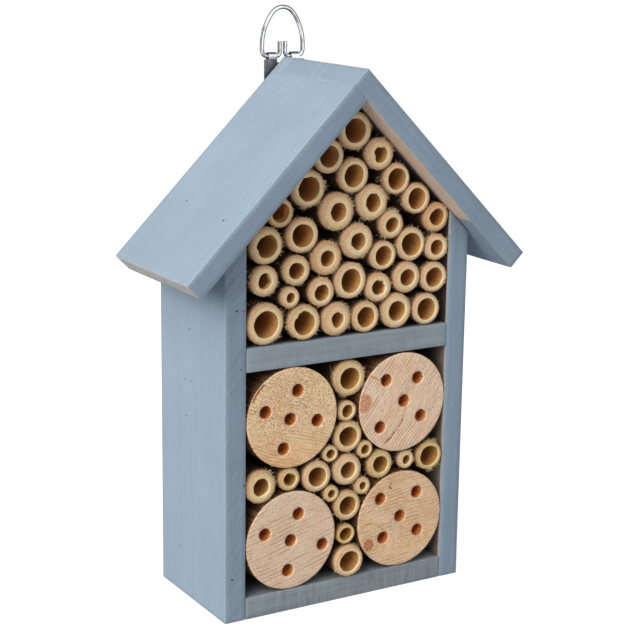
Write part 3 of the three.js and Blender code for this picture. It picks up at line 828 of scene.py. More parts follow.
# What sets single reeds apart. The bore's torn lining stands in by 'torn' (a share of the bore)
# on the side 'turn' (degrees from +X towards +Z), over 'wide' of the way round, 'at' how many
# millimetres inside and 'reach' over how many; 'points' says how ragged it is. A 'tint' over 0.5
# is greener and under it pinker, and 'fuzz' says how frayed the cut is.
PLAIN_REED = {
    "torn": 0.05, "turn": 135, "wide": 0.5, "at": 0.0, "reach": 1.5, "points": 1.5,
    "tint": 0.5, "fuzz": 1.0,
}
SPECIAL_REEDS = {
    "upper_reed_02": {"tint": 0.4},
    "upper_reed_03": {"torn": 0.30, "turn": 140, "wide": 0.4, "reach": 4.0, "points": 1.2, "fuzz": 1.3},
    "upper_reed_04": {"tint": 0.65},
    "upper_reed_05": {"fuzz": 1.4},
    "upper_reed_06": {"torn": 0.14, "turn": 150, "at": 1.0, "points": 3.0, "fuzz": 1.7},
    "upper_reed_07": {"torn": 0.20, "turn": 165, "reach": 2.5, "points": 2.4, "tint": 0.35, "fuzz": 1.2},
    "upper_reed_08": {"torn": 0.14, "turn": 110, "wide": 0.8, "reach": 2.0, "points": 2.2, "fuzz": 1.7},
    "upper_reed_09": {"tint": 0.4, "fuzz": 1.4},
    "upper_reed_10": {"fuzz": 2.6, "tint": 0.6},
    "upper_reed_11": {"tint": 0.15, "torn": 0.16, "turn": 180, "at": 2.0, "reach": 3.0},
    "upper_reed_12": {"tint": 0.2, "torn": 0.28, "turn": -50, "wide": 0.4, "at": 4.0, "reach": 1.2},
    "upper_reed_13": {"tint": 0.6},
    "upper_reed_14": {"torn": 0.22, "turn": 150, "wide": 0.35, "points": 2.6, "fuzz": 1.7, "tint": 0.6},
    "upper_reed_15": {"torn": 0.16, "turn": 170, "reach": 3.0, "points": 1.6, "fuzz": 1.3},
    "upper_reed_16": {"tint": 0.55, "fuzz": 1.4},
    "upper_reed_17": {"fuzz": 1.8},
    "upper_reed_18": {"tint": 0.3, "fuzz": 1.5},
    "upper_reed_20": {"torn": 0.2, "turn": 20, "wide": 0.5, "at": 2.0, "reach": 2.0, "tint": 0.65},
    "upper_reed_21": {
        "torn": 0.42, "turn": 60, "wide": 1.0, "at": 2.5, "reach": 2.0, "points": 1.9, "fuzz": 1.3,
    },
    "upper_reed_23": {"tint": 0.6},
    "upper_reed_25": {"torn": 0.12, "tint": 0.6, "fuzz": 1.4},
    "upper_reed_26": {"torn": 0.2, "turn": 75, "wide": 0.5, "reach": 2.5, "points": 2.2, "tint": 0.55},
    "upper_reed_27": {
        "torn": 0.3, "turn": 15, "wide": 0.9, "at": 2.0, "reach": 2.0, "points": 1.8, "tint": 0.4,
    },
    "upper_reed_28": {"tint": 0.55, "fuzz": 1.2},
    "upper_reed_29": {
        "torn": 0.22, "turn": 100, "wide": 0.35, "reach": 3.0, "points": 3.0, "tint": 0.7, "fuzz": 1.5,
    },
    "upper_reed_30": {
        "torn": 0.26, "turn": 150, "wide": 0.6, "reach": 1.6, "points": 2.4, "tint": 0.35, "fuzz": 1.3,
    },
    "upper_reed_31": {"torn": 0.08, "turn": 150, "points": 2.0, "tint": 0.35},
    "lower_reed_01": {"tint": 0.75, "fuzz": 1.5},
    "lower_reed_07": {"tint": 0.85, "fuzz": 1.3},
    "lower_reed_08": {"tint": 0.6, "fuzz": 1.4},
    "lower_reed_09": {"tint": 1.0, "fuzz": 2.6},
    "lower_reed_11": {"tint": 0.4},
    "lower_reed_12": {"torn": 0.45, "turn": 150, "wide": 0.8, "at": 2.5, "reach": 2.0, "tint": 0.9},
    "lower_reed_13": {
        "torn": 0.16, "turn": 60, "wide": 1.0, "at": 1.5, "points": 2.8, "tint": 0.7, "fuzz": 1.6,
    },
    "lower_reeds_03_02_04_05": {"tint": 0.7},
    "lower_reeds_15_10_14": {"tint": 0.75},
    "lower_reed_16": {"tint": 1.0},
    "lower_reed_17": {"tint": 0.6},
}


def reed_shape(hole, look, seed):
    """Functions for one reed's outer and inner radius in millimetres, at an angle and depth."""
    draw = random.Random(seed)
    bore, outside = hole[2] / MM, hole[3] / MM
    oval, oval_turn = draw.uniform(0.01, 0.05), draw.uniform(0, math.pi)
    bore_oval, bore_turn = draw.uniform(-0.04, 0.04), draw.uniform(0, math.pi)
    torn_side = math.radians(look["turn"])

    def outer(angle, depth):
        flattened = oval * (1 - math.cos(2 * (angle - oval_turn))) / 2
        lumps = ripple(1.6 * math.cos(angle), 1.6 * math.sin(angle), depth / 25, seed)
        return outside * (1 - flattened) - 0.08 * (1 + lumps)

    def inner(angle, depth):
        radius = bore * (1 + bore_oval * math.cos(2 * (angle - bore_turn)))
        radius += 0.12 * ripple(2 * math.cos(angle), 2 * math.sin(angle), depth / 9, seed + 0.3)
        close = math.exp(-(((depth - look["at"]) / look["reach"]) ** 2))
        side = step(math.cos(angle - torn_side), 1 - 2 * look["wide"] - 0.3, 1 - 2 * look["wide"] + 0.4)
        points = look["points"]
        ragged = ripple(points * math.cos(angle), points * math.sin(angle), depth / 6, seed + 0.6)
        ragged += 0.4 * ripple(3 * points * math.cos(angle), 3 * points * math.sin(angle), depth / 3, seed)
        return radius * (1 - look["torn"] * close * side * (0.35 + 0.65 * step(ragged, -0.6, 0.6)))

    return outer, inner


def reed_mesh(name, hole, front, back, look, seed):
    """A tube of reed whose cut end is rounded outside and ragged round the bore."""
    draw = random.Random(seed * 7 + 1)
    outer, inner = reed_shape(hole, look, seed)
    wall = (hole[3] - hole[2]) / MM
    length = (back - front) / MM
    rounding = min(max(wall / 4.2, 0.45), 1.0)
    recess = draw.uniform(0.0, 0.3)
    slant, slant_turn = draw.uniform(0.0, 0.035), draw.uniform(0, 2 * math.pi)
    middle = Vector((hole[0], front, hole[1]))
    end = [(1, length - BACK_ROUND), (0.85, length), (0.15, length), (0, length - BACK_ROUND)]
    profile = [*BORE_PROFILE, *FACE_PROFILE, *SKIN_PROFILE, *end]

    verts, across_values, depth_values = [], [], []
    for across, depth in profile:
        for i in range(REED_SIDES):
            angle = 2 * math.pi * i / REED_SIDES
            inside, outside = inner(angle, depth), outer(angle, depth)
            radius = inside + (outside - inside) * across
            near = step(depth, 6, 0)
            behind = depth * (rounding if across > 0.25 and depth < 4 else 1)
            behind += near * (recess + slant * radius * (1 + math.cos(angle - slant_turn)))
            behind += near * 0.09 * (1 + ripple(radius * 1.1, angle * 5, depth, seed))
            offset = Vector((radius * math.cos(angle), min(behind, length), radius * math.sin(angle)))
            verts.append(middle + offset * MM)
            across_values.append(across)
            depth_values.append(depth)
    rows = len(profile)
    faces = []
    for row in range(rows):
        for i in range(REED_SIDES):
            here, there = row * REED_SIDES, (row + 1) % rows * REED_SIDES
            following = (i + 1) % REED_SIDES
            faces.append((here + i, here + following, there + following, there + i))
    mesh = bpy.data.meshes.new(name)
    mesh.from_pydata(verts, [], faces)
    give_attribute(mesh, "across", across_values)
    give_attribute(mesh, "depth", depth_values)
    give_attribute(mesh, "seed", [draw.random()] * len(verts))
    give_attribute(mesh, "tint", [look["tint"]] * len(verts))
    shade_smooth(mesh)
    return mesh


class Fibres:
    """Thin tapering strands, gathered into one mesh."""

    SIDES = 3
    BENDS = 3

    def __init__(self):
        self.verts = []
        self.faces = []

    def strand(self, root, direction, curl, length, thickness):
        first = len(self.verts)
        aside = direction.orthogonal().normalized()
        other = direction.cross(aside)
        for bend in range(self.BENDS):
            share = bend / self.BENDS
            middle = root + direction * (length * share) + curl * (length * share * share)
            for side in range(self.SIDES):
                angle = 2 * math.pi * side / self.SIDES
                spread = (aside * math.cos(angle) + other * math.sin(angle)) * thickness * (1 - 0.7 * share)
                self.verts.append(middle + spread)
        self.verts.append(root + direction * length + curl * length)
        tip = len(self.verts) - 1
        for bend in range(self.BENDS - 1):
            for side in range(self.SIDES):
                a = first + bend * self.SIDES + side
                b = first + bend * self.SIDES + (side + 1) % self.SIDES
                self.faces.append((a, b, b + self.SIDES, a + self.SIDES))
        last = first + (self.BENDS - 1) * self.SIDES
        for side in range(self.SIDES):
            self.faces.append((last + side, last + (side + 1) % self.SIDES, tip))
        self.faces.append(tuple(first + side for side in reversed(range(self.SIDES))))

    def mesh(self, name):
        made = bpy.data.meshes.new(name)
        made.from_pydata(self.verts, [], self.faces)
        shade_smooth(made)
        return made


def radial(angle):
    """The directions outward and sideways at an angle round a reed, a log or a hole."""
    outward = Vector((math.cos(angle), 0, math.sin(angle)))
    return outward, Vector((-outward.z, 0, outward.x))


def fray(fibres, hole, front, fuzz, seed):
    """Torn fibres round a reed's cut end: short ones all round and some tufts."""
    draw = random.Random(seed * 13 + 5)
    tufts = [(draw.uniform(0, 2 * math.pi), draw.uniform(0.06, 0.2)) for _ in range(4)]
    around = hole[3] / (8 * MM)
    for i in range(int(FRAY_STRANDS * fuzz * around)):
        angle = draw.uniform(0, 2 * math.pi)
        long = draw.uniform(0.25, 0.75)
        if i % 3 == 0:
            turn, spread = tufts[i % len(tufts)]
            angle = draw.gauss(turn, spread)
            long = draw.uniform(0.6, 1.3 + 0.7 * fuzz)
        depth = draw.uniform(0.5, 3.0) if draw.random() < 0.8 else draw.uniform(3, 9)
        outward, sideways = radial(angle)
        narrower = step(depth, 2.4, 0.3) * 0.9 * MM
        root = Vector((hole[0], front + depth * MM, hole[1])) + outward * (hole[3] - 0.35 * MM - narrower)
        direction = outward * draw.uniform(0.6, 1.2) + sideways * draw.uniform(-0.8, 0.8)
        direction = (direction + BACK * draw.uniform(-0.8, 0.4)).normalized()
        curl = sideways * draw.uniform(-0.5, 0.5) + BACK * draw.uniform(-0.3, 0.3)
        fibres.strand(root, direction, curl, long * MM + 0.3 * MM, draw.uniform(0.07, 0.15) * MM)


def reeds():
    material = reed_material()
    fibre = fibre_material()
    for bay in ("upper", "lower"):
        fibres = Fibres()
        nodes = sorted(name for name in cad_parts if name.startswith(bay + "_reed"))
        for number, node in enumerate(nodes):
            low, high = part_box(node)
            look = {**PLAIN_REED, **SPECIAL_REEDS.get(node, {})}
            holes = read_holes(node)
            for place, hole in enumerate(holes):
                seed = number * 3 + place + (0 if bay == "upper" else 200)
                name = f"{node}_stem" if len(holes) == 1 else f"{node}_stem_{place + 1}"
                mesh = reed_mesh(name, hole, low.y, high.y, look, seed)
                add_piece(name, mesh, "house", material, [node])
                fray(fibres, hole, low.y, look["fuzz"], seed)
        add_piece(f"{bay}_reed_fibres", fibres.mesh(f"{bay}_reed_fibres"), "house", fibre)


# ---------------------------------------------------------------- the logs

LOG_CELL = 0.85 * MM
LOG_SIDES = 128
HOLE_SIDES = 30
# The rows of the grid on a log's end are this share of a cell apart.
ROW_SHARE = 0.866

# How each log looks. Places are (x, z) in millimetres: the 'pith' is the middle of the growth
# rings, 'knots' are (x, z, radius), and 'cracks', 'arcs' and 'pale_arcs' lie along growth rings,
# as (x, z, radius, first angle, last angle, width). 'bark' is left between two angles of the rim.
# Pores crowd above the height 'pores_above' and are 'scattered' elsewhere.
PLAIN_LOG = {
    "star": 0.0, "pores_above": 1000, "scattered": 0.5,
    "knots": [], "cracks": [], "arcs": [], "pale_arcs": [], "bark": [],
}
LOG_LOOKS = {
    "log_upper_left": {
        "pith": (-68, 124), "ring_width": 5.0, "ring_strength": 0.3, "ring": (255, 222, 186),
        "saw_angle": 18, "saw_gap": 1.6, "saw_strength": 0.5, "fleck": 0.45, "grit": 0.45,
        "wood": (255, 212, 160), "wood_warm": (246, 190, 138), "line": (212, 154, 94),
        "speck": (200, 130, 66), "pale": (255, 240, 206), "crack": (176, 112, 70),
        "knot_dark": KNOT, "pores_above": 90, "scattered": 0.3, "bark": [(126, 158)],
        "pale_arcs": [(-58, 44, 72, 50, 76, 0.7), (-70, 30, 88, 44, 70, 0.6)],
    },
    "log_upper_right": {
        "pith": (8.8, 103), "ring_width": 4.4, "ring_strength": 0.2, "ring": (226, 170, 132),
        "saw_angle": -49, "saw_gap": 1.7, "saw_strength": 0.78, "fleck": 0.3, "grit": 0.5,
        "wood": (255, 222, 188), "wood_warm": (251, 211, 174), "line": (210, 156, 118),
        "speck": (198, 140, 98), "pale": (255, 244, 228), "crack": (120, 76, 52),
        "knot_dark": (218, 136, 96), "star": 0.2, "knots": [(8.8, 103, 5.2)],
        "cracks": [(8.8, 103, 12.6, 292, 388, 0.6), (8.8, 103, 26.5, 295, 345, 1.0)],
        "arcs": [(8.8, 103, 14.2, 44, 88, 1.0), (8.8, 103, 26.5, 294, 372, 0.8)],
    },
    "log_lower_left": {
        "pith": (-34, 92), "ring_width": 6.0, "ring_strength": 0.15, "ring": (230, 188, 156),
        "saw_angle": -14, "saw_gap": 2.2, "saw_strength": 0.55, "fleck": 0.2, "grit": 0.58,
        "wood": (243, 209, 179), "wood_warm": (238, 200, 166), "line": (200, 154, 118),
        "speck": (206, 152, 98), "pale": (255, 240, 222), "crack": (196, 150, 112),
        "knot_dark": (222, 176, 132), "arcs": [(-180, 60, 138, 340, 359, 0.5)],
    },
    "log_lower_right": {
        "pith": (13.6, 26.2), "ring_width": 5.2, "ring_strength": 0.42, "ring": (222, 174, 126),
        "saw_angle": -7, "saw_gap": 1.9, "saw_strength": 0.42, "fleck": 0.22, "grit": 0.58,
        "wood": (250, 209, 168), "wood_warm": (244, 197, 152), "line": (204, 154, 110),
        "speck": (176, 124, 80), "pale": (255, 236, 204), "crack": (140, 78, 46),
        "knot_dark": (200, 116, 70), "star": 0.7, "scattered": 0.7, "knots": [(13.6, 26.2, 3.4)],
        "cracks": [(13.6, 26.2, 27.5, 42, 100, 0.5), (27.2, 56.2, 1.2, 0, 360, 0.9)],
        "arcs": [(13.6, 26.2, 11.4, 0, 115, 0.6)], "pale_arcs": [(13.6, 26.2, 9.8, 5, 130, 0.5)],
    },
}


def circle(x, z, radius, sides):
    turns = [2 * math.pi * i / sides for i in range(sides)]
    return [(x + radius * math.cos(turn), z + radius * math.sin(turn)) for turn in turns]


def face_grid(x, z, radius, holes, draw):
    """Points spread evenly over a log's end, clear of its edge and its holes."""
    points = []
    rows = int(radius / (LOG_CELL * ROW_SHARE)) + 1
    for row in range(-rows, rows + 1):
        for column in range(-rows - 1, rows + 2):
            across = (column + 0.5 * (row % 2)) * LOG_CELL + draw.uniform(-0.2, 0.2) * LOG_CELL
            up = row * LOG_CELL * ROW_SHARE + draw.uniform(-0.2, 0.2) * LOG_CELL
            in_disc = math.hypot(across, up) < radius - 0.6 * LOG_CELL
            point = (x + across, z + up)
            clear = all(math.dist(point, hole[:2]) > hole[2] + 0.6 * LOG_CELL for hole in holes)
            if in_disc and clear:
                points.append(point)
    return points


def in_knot(look, x, z):
    """1 in a knot's middle and 0 outside it; x and z in millimetres."""
    inside = [step(math.dist((x, z), knot[:2]), knot[2] * 1.1, knot[2] * 0.8) for knot in look["knots"]]
    return max(inside, default=0.0)


def on_arc(arcs, x, z, dotted):
    """Up to 1 along growth rings: each has a middle, a radius, two angles and a width."""
    most = 0.0
    for middle_x, middle_z, radius, start, end, width in arcs:
        angle = (math.degrees(math.atan2(z - middle_z, x - middle_x)) - start) % 360
        if angle <= end - start:
            wander = 0.4 * ripple(x / 4, z / 4, 0, radius)
            off = abs(math.dist((x, z), (middle_x, middle_z)) - radius - wander)
            fade = step(min(angle, end - start - angle), 0, 8)
            broken = step(ripple(x / 1.5, z / 1.5, 3, radius), -0.1, 0.25) if dotted else 1.0
            most = max(most, step(off, 0.9 * width, 0.1) * fade * broken * min(width + 0.2, 1))
    return most


def in_bark(look, across, up, inside):
    """1 along the rim where bark is left: across and up from the middle, inside the edge in mm."""
    angle = math.degrees(math.atan2(up, across)) % 360
    nearest = max((min(angle - start, end - angle) for start, end in look["bark"]), default=-1.0)
    return step(nearest, 0, 6) * step(inside, 2.2, 0.6)


def log_face_depth(look, x, z, seed):
    """How far the rough sawn end lies behind its highest point, in millimetres."""
    angle = math.radians(look["saw_angle"])
    beside = x * math.sin(angle) + z * math.cos(angle)
    along = x * math.cos(angle) - z * math.sin(angle)
    sawn = 0.08 * (1 + ripple(along / 14, beside / 1.2, 0, seed))
    rough = 0.08 * (1 + ripple(x / 1.1, z / 1.1, 0, seed + 1))
    pit = 0.4 * step(ripple(x / 1.6, z / 1.6, 5, seed + 2), 0.5, 0.78)
    knot = in_knot(look, x, z)
    star = 0.3 * knot * step(ripple(x / 0.9, z / 0.9, 9, seed), 0.0, 0.4)
    return 0.1 + sawn + rough + pit + star - 0.1 * knot + 0.5 * on_arc(look["cracks"], x, z, True)


def log_mesh(node, look, seed):
    """A log with a rough sawn front, a broken edge, a bark-free side and drilled holes."""
    draw = random.Random(seed)
    low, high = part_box(node)
    holes = read_holes(node)
    x, z = (low.x + high.x) / 2, (low.z + high.z) / 2
    radius = (high.x - low.x) / 2 + 0.2 * MM
    front, length = low.y, high.y - low.y
    drilled = 50 * MM
    edge_round = 0.4 * MM
    rim_round = 0.2 * MM

    def reach(angle):
        """The radius of the flat face: a little ragged, more so in places."""
        wide = ripple(3 * math.cos(angle), 3 * math.sin(angle), 0, seed)
        fine = ripple(17 * math.cos(angle), 17 * math.sin(angle), 3, seed)
        return radius - edge_round - (0.12 + 0.08 * wide + 0.12 * fine) * MM

    turns = [2 * math.pi * i / LOG_SIDES for i in range(LOG_SIDES)]
    loops = [[(x + reach(turn) * math.cos(turn), z + reach(turn) * math.sin(turn)) for turn in turns]]
    loops += [circle(hole[0], hole[1], hole[2] + rim_round, HOLE_SIDES) for hole in holes]
    flat, edges = [], []
    for loop in loops:
        first = len(flat)
        flat += loop
        edges += [(first + i, first + (i + 1) % len(loop)) for i in range(len(loop))]
    flat += face_grid(x, z, radius - edge_round, [(*hole[:2], hole[2] + rim_round) for hole in holes], draw)
    tidy = geometry.delaunay_2d_cdt([Vector(point) for point in flat], edges, [], 2, 1e-9)
    kept_points, kept_faces = tidy[0], tidy[2]

    verts, faces = [], []
    values = {name: [] for name in ("side", "hole", "rim", "knot", "crack", "arc", "bright", "bark")}

    def add_vert(px, depth, pz, **given):
        verts.append((px, front + depth, pz))
        for name in values:
            values[name].append(given.get(name, 0.0))
        return len(verts) - 1

    def in_a_hole(face):
        cx = sum(kept_points[i][0] for i in face) / len(face)
        cz = sum(kept_points[i][1] for i in face) / len(face)
        return any(math.dist((cx, cz), hole[:2]) < hole[2] + 0.5 * rim_round for hole in holes)

    for px, pz in kept_points:
        depth = log_face_depth(look, px / MM, pz / MM, seed) * MM
        nearest = min(math.dist((px, pz), hole[:2]) - hole[2] for hole in holes) / MM
        outside = (radius - math.dist((px, pz), (x, z))) / MM
        add_vert(
            px, depth, pz,
            rim=step(nearest, 1.0, 0.2),
            side=0.35 * step(outside, 1.2, 0.4),
            bark=in_bark(look, px - x, pz - z, outside),
            knot=in_knot(look, px / MM, pz / MM),
            crack=on_arc(look["cracks"], px / MM, pz / MM, True),
            arc=on_arc(look["arcs"], px / MM, pz / MM, False),
            bright=on_arc(look["pale_arcs"], px / MM, pz / MM, False),
        )
    faces += [tuple(reversed(face)) for face in kept_faces if not in_a_hole(face)]

    def ring(first, count, shift, depth, **given):
        """A copy of a loop of vertices, moved by shift(x, z) and standing at a depth."""
        made = []
        for i in range(count):
            px, _, pz = verts[first[i]]
            nx, nz = shift(px, pz)
            made.append(add_vert(nx, depth, nz, **given))
        return made

    def join(before, after):
        count = len(before)
        for i in range(count):
            following = (i + 1) % count
            faces.append((before[i], before[following], after[following], after[i]))

    found = {(round(px, 7), round(pz, 7)): i for i, (px, pz) in enumerate(kept_points)}

    def loop_of(points):
        return [found[(round(px, 7), round(pz, 7))] for px, pz in [Vector(point) for point in points]]

    edge = loop_of(loops[0])
    outward_steps = [(0.2, 0.3), (0.34, 0.5), (0.4, 0.85), (0.4, 3), (0.4, 9), (0.4, 20), (0.4, 40)]
    here = edge
    for out, depth in outward_steps + [(0.4, length / MM - 0.6), (0.1, length / MM)]:
        def outward(px, pz, out=out):
            angle = math.atan2(pz - z, px - x)
            lump = 0.1 * MM * (ripple(4 * math.cos(angle), 4 * math.sin(angle), depth / 12, seed) - 1)
            blend = step(depth, 0.2, 1.0)
            far = (reach(angle) + out * MM) * (1 - blend) + (radius - edge_round + out * MM + lump) * blend
            return x + far * math.cos(angle), z + far * math.sin(angle)

        there = ring(here, LOG_SIDES, outward, max(depth * MM, 0.5 * MM), side=step(depth, 0.2, 1.0))
        join(there, here)
        here = there
    faces.append(tuple(here))

    for hole, loop in zip(holes, loops[1:]):
        here = loop_of(loop)
        for share, depth in [(0.3, 0.55), (0, 0.85), (0, 2), (0, 5), (0, 12), (0, 28), (0, 49.0)]:
            def inward(px, pz, share=share, depth=depth):
                angle = math.atan2(pz - hole[1], px - hole[0])
                torn = 0.05 * ripple(5 * math.cos(angle), 5 * math.sin(angle), depth, seed)
                near = hole[2] + rim_round * share + torn * MM
                return hole[0] + near * math.cos(angle), hole[1] + near * math.sin(angle)

            there = ring(here, HOLE_SIDES, inward, depth * MM, hole=step(depth, 0.3, 1.2))
            join(there, here)
            here = there
        tip = add_vert(hole[0], drilled, hole[1], hole=1.0)
        faces.extend((here[i], tip, here[(i + 1) % HOLE_SIDES]) for i in range(HOLE_SIDES))

    mesh = bpy.data.meshes.new(node + "_wood")
    mesh.from_pydata(verts, [], faces)
    mesh.validate()
    for name, numbers in values.items():
        give_attribute(mesh, name, numbers)
    made = bmesh.new()
    made.from_mesh(mesh)
    bmesh.ops.recalc_face_normals(made, faces=made.faces)
    made.to_mesh(mesh)
    made.free()
    shade_smooth(mesh)
    return mesh, holes


def logs():
    fibres = Fibres()
    for number, (node, special) in enumerate(LOG_LOOKS.items()):
        look = {**PLAIN_LOG, **special}
        mesh, holes = log_mesh(node, look, 40 + number)
        add_piece(node + "_wood", mesh, "house", log_material(node + "_wood", look), [node])
        draw = random.Random(90 + number)
        low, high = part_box(node)
        front, log_radius = low.y, (high.x - low.x) / 2
        x, z = (low.x + high.x) / 2, (low.z + high.z) / 2
        for hole in holes:
            for _ in range(HOLE_STRANDS):
                outward, _ = radial(draw.uniform(0, 2 * math.pi))
                root = Vector((hole[0], front + 0.4 * MM, hole[1])) + outward * (hole[2] + 0.1 * MM)
                direction = (outward * draw.uniform(-1.4, 0.0) - BACK * draw.uniform(0.1, 0.5)).normalized()
                curl = Vector((draw.uniform(-0.4, 0.4), 0, draw.uniform(-0.4, 0.4)))
                fibres.strand(root, direction, curl, draw.uniform(0.2, 0.8) * MM, 0.07 * MM)
        for _ in range(EDGE_STRANDS):
            outward, sideways = radial(draw.uniform(0, 2 * math.pi))
            middle = Vector((x, front + draw.uniform(0.4, 1.6) * MM, z))
            root = middle + outward * (log_radius - 0.5 * MM)
            direction = outward + sideways * draw.uniform(-0.9, 0.9) - BACK * draw.uniform(-0.3, 0.3)
            direction.normalize()
            long = draw.uniform(0.5, 1.0) if draw.random() < 0.85 else draw.uniform(1.0, 2.0)
            fibres.strand(root, direction, sideways * draw.uniform(-0.4, 0.4), long * MM, 0.09 * MM)
    add_piece("log_splinters", fibres.mesh("log_splinters"), "house", fibre_material())


# ---------------------------------------------------------------- the hanger and the brads


def hanger():
    plate_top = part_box("hanger_plate")[1].z / MM
    wire = metal("ring_wire", WIRE, 0.05, (0, 0, 0), 0.0002 * MM)
    # The plate's rolled tabs at its top get a painted highlight.
    plate = metal("plate_steel", PLATE_STEEL, 0.42, (0, -90, 0), 0.04 * MM, plate_top - 3.2)
    screw_steel = metal("screw_steel", STEEL, 0.3, (0, 0, 0), 0.03 * MM)

    ring = repaint("hanging_ring", wire)
    weld(ring)
    smooth = ring.modifiers.new("smooth", "SUBSURF")
    smooth.levels = smooth.render_levels = 2

    sheet = repaint("hanger_plate", plate)
    weld(sheet)
    round_edges(sheet, 0.12 * MM, 40)

    screw_piece("hanger_screw_upper", screw_steel, 25)
    screw_piece("hanger_screw_lower", screw_steel, 62)


def cross_recess(across, up, turn):
    """1 in a cross of four arms and 0 outside it, in shares of a screw head's radius."""
    c, s = math.cos(math.radians(turn)), math.sin(math.radians(turn))
    along, aside = abs(across * c + up * s), abs(up * c - across * s)
    thin, long = min(along, aside), max(along, aside)
    return step(thin, 0.2, 0.12) * step(long, 0.62, 0.5)


def screw_piece(node, material, turn):
    """A pan-head screw with a cross recess, lying along Y with its head at the back."""
    low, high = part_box(node)
    x, z = (low.x + high.x) / 2, (low.z + high.z) / 2
    head = (high.x - low.x) / 2
    shank = 0.43 * head
    rise, rim, recess = 1.4 * MM, 0.4 * MM, 0.9 * MM
    under_head = high.y - rise - rim
    sides = 72
    profile = [(0.4 * shank, low.y + 0.1 * MM), (shank, low.y + 1.4 * MM), (shank, under_head)]
    profile += [(0.94 * head, under_head), (head, under_head + 0.12 * MM)]
    domed = [math.cos(math.radians(4.5 * i)) for i in range(1, 20)]
    profile += [(head * share, under_head + rim + rise * math.sqrt(1 - share * share)) for share in domed]
    made = bmesh.new()
    rows = []
    for radius, y in profile:
        row = []
        for i in range(sides):
            across, up = math.cos(2 * math.pi * i / sides), math.sin(2 * math.pi * i / sides)
            on_dome = y > under_head + rim
            sunk = recess * cross_recess(across * radius / head, up * radius / head, turn) if on_dome else 0
            row.append(made.verts.new((x + radius * across, y - sunk, z + radius * up)))
        rows.append(row)
    join_rows(made, rows)
    tip = made.verts.new((x, low.y, z))
    crown = made.verts.new((x, high.y - recess, z))
    for i in range(sides):
        made.faces.new((tip, rows[0][(i + 1) % sides], rows[0][i]))
        made.faces.new((crown, rows[-1][i], rows[-1][(i + 1) % sides]))
    mesh = finished_mesh(made, node + "_turned")
    shade_smooth(mesh)
    add_piece(node + "_turned", mesh, "house", material, [node])


# Brad heads: on the left wall's side (mm behind its front, mm up), on its front (mm in from its
# side, mm up) and on the left slope of the roof (mm down from the ridge, mm behind its front).
SIDE_BRADS = [(62.6, 146.2), (38.1, 142.6), (43.8, 115.6), (36.6, 116), (42, 96.9), (51.8, 24.3)]
FRONT_BRADS = [(6.2, 158.6), (9.9, 158.2), (8.6, 129.5), (10.5, 70.7), (3.9, 22.8)]
ROOF_BRADS = [(67, 58.4), (69.6, 14.5)]
BRAD_PROFILE = [(1.0, -0.3), (1.0, 0.0), (0.88, 0.04), (0.55, 0.04), (0.3, -0.02)]


def brads():
    """The small heads of the brads that hold the boards, with a dimple from the punch."""
    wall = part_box("left_wall")[0]
    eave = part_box("left_roof_board")[0].y
    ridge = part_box("right_roof_board")[1].z
    base = cad_low.z
    places = []
    for behind, up in SIDE_BRADS:
        places.append((Vector((wall.x, wall.y + behind * MM, base + up * MM)), -RIGHT, 0.6))
    for inward, up in FRONT_BRADS:
        places.append((Vector((wall.x + inward * MM, wall.y, base + up * MM)), -BACK, 1.0))
    for down, behind in ROOF_BRADS:
        places.append((Vector((-down * MM, eave + behind * MM, ridge - down * MM)), OUT_OF_LEFT_ROOF, 1.0))
    draw = random.Random(17)
    sides = 14
    made = bmesh.new()
    for place, normal, share_shown in places:
        aside = normal.orthogonal().normalized()
        other = normal.cross(aside)
        radius = draw.uniform(0.42, 0.62) * share_shown
        rows = []
        for share, height in BRAD_PROFILE:
            row = []
            for i in range(sides):
                angle = 2 * math.pi * i / sides
                uneven = ripple(2 * math.cos(angle), 2 * math.sin(angle), 0, radius * 50)
                wide = radius * share * (1 + 0.12 * uneven)
                spread = aside * math.cos(angle) + other * math.sin(angle)
                row.append(made.verts.new(place + (spread * wide + normal * height) * MM))
            rows.append(row)
        join_rows(made, rows)
        made.faces.new(rows[-1])
        made.faces.new(reversed(rows[0]))
    mesh = finished_mesh(made, "brad_heads")
    shade_smooth(mesh)
    add_piece("brad_heads", mesh, "house", brad_material())


# ---------------------------------------------------------------- floor, light and camera


def stage():
    size = 4.0
    made = bmesh.new()
    bmesh.ops.create_grid(made, x_segments=8, y_segments=8, size=size / 2)
    mesh = bpy.data.meshes.new("floor")
    made.to_mesh(mesh)
    made.free()
    floor = bpy.data.objects.new("floor", mesh)
    bpy.context.scene.collection.objects.link(floor)
    mesh.materials.append(floor_material())
    floor.visible_diffuse = False
    floor.visible_glossy = False


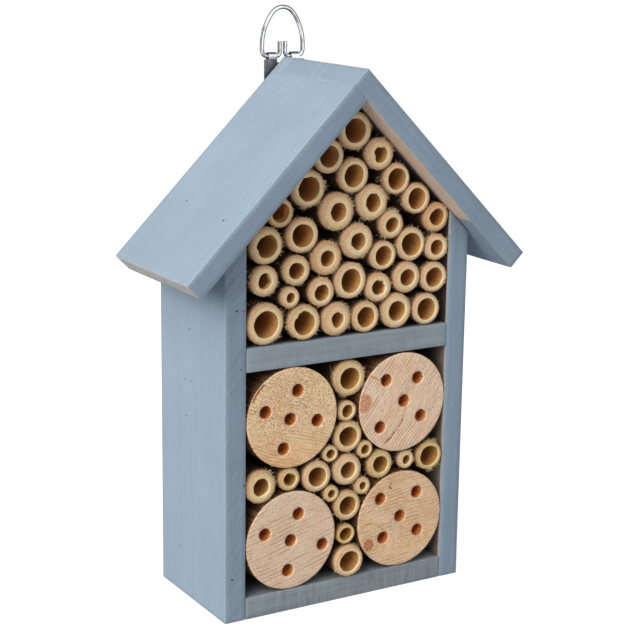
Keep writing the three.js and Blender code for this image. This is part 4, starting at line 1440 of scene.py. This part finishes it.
def lights():
    scene = bpy.context.scene
    world = bpy.data.worlds.new("studio")
    scene.world = world
    world.use_nodes = True
    tree = world.node_tree
    tree.nodes.clear()

    def background(colour, strength):
        made = tree.nodes.new("ShaderNodeBackground")
        made.inputs["Color"].default_value = (*colour, 1)
        made.inputs["Strength"].default_value = strength
        return made.outputs[0]

    def pick(factor, a, b):
        made = tree.nodes.new("ShaderNodeMixShader")
        tree.links.new(factor, made.inputs[0])
        tree.links.new(a, made.inputs[1])
        tree.links.new(b, made.inputs[2])
        return made.outputs[0]

    towards = tree.nodes.new("ShaderNodeTexCoord")

    def near(direction, low, high):
        """1 where the mirrored direction lies close to a given one."""
        dot = tree.nodes.new("ShaderNodeVectorMath")
        dot.operation = "DOT_PRODUCT"
        tree.links.new(towards.outputs["Generated"], dot.inputs[0])
        dot.inputs[1].default_value = Vector(direction).normalized()
        share = tree.nodes.new("ShaderNodeMapRange")
        share.interpolation_type = "SMOOTHSTEP"
        share.inputs["From Min"].default_value = low
        share.inputs["From Max"].default_value = high
        tree.links.new(dot.outputs["Value"], share.inputs["Value"])
        return share.outputs[0]

    # Polished metal mirrors a bright room, dark behind the house and in one gap in front of it.
    dark = background((1, 1, 1), 0.07)
    mirrored = pick(near((0.5, 0.86, 0.0), -0.5, 0.1), background((1, 1, 1), 1.3), dark)
    mirrored = pick(near((-0.87, -0.49, 0.1), 0.84, 0.94), mirrored, dark)

    path = tree.nodes.new("ShaderNodeLightPath")
    lit = pick(path.outputs["Is Glossy Ray"], background((0.93, 1.0, 1.07), 0.5), mirrored)
    shown = pick(path.outputs["Is Camera Ray"], lit, background((1, 1, 1), 1.0))
    out = tree.nodes.new("ShaderNodeOutputWorld")
    tree.links.new(shown, out.inputs[0])

    key = bpy.data.lights.new("key", "AREA")
    distance = 3.0
    key.shape = "DISK"
    key.size = 3.4
    key.energy = 1.46 * math.pi ** 2 * distance ** 2
    key.color = (1.0, 0.97, 0.94)
    to_key = Vector((-0.77, -0.2, 0.5)).normalized()
    lamp = bpy.data.objects.new("key", key)
    lamp.visible_glossy = False
    middle = (cad_low + cad_high) / 2
    lamp.location = middle + to_key * distance
    lamp.rotation_euler = to_key.to_track_quat("Z", "Y").to_euler()
    scene.collection.objects.link(lamp)

    scene.view_settings.view_transform = "Standard"
    scene.view_settings.look = "None"


def camera():
    """The eye looks down on the open front from the left."""
    azimuth, elevation, roll = (math.radians(angle) for angle in (-31.017, 13.443, 0.8305))
    distance = 805.45 * MM
    target = Vector((-17.73 * MM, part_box("left_wall")[0].y, 149.34 * MM))
    back = Vector((
        math.sin(azimuth) * math.cos(elevation),
        -math.cos(azimuth) * math.cos(elevation),
        math.sin(elevation),
    ))
    level = Vector((math.cos(azimuth), math.sin(azimuth), 0))
    upright = back.cross(level)
    right = level * math.cos(roll) + upright * math.sin(roll)
    up = upright * math.cos(roll) - level * math.sin(roll)
    data = bpy.data.cameras.new("camera")
    data.lens = 92.574
    data.sensor_width = 36
    eye = bpy.data.objects.new("camera", data)
    turned = Matrix((right, up, back)).transposed().to_4x4()
    eye.matrix_world = Matrix.Translation(target + back * distance) @ turned
    bpy.context.scene.collection.objects.link(eye)
    bpy.context.scene.camera = eye


boards()
reeds()
logs()
hanger()
brads()
stage()
lights()
camera()
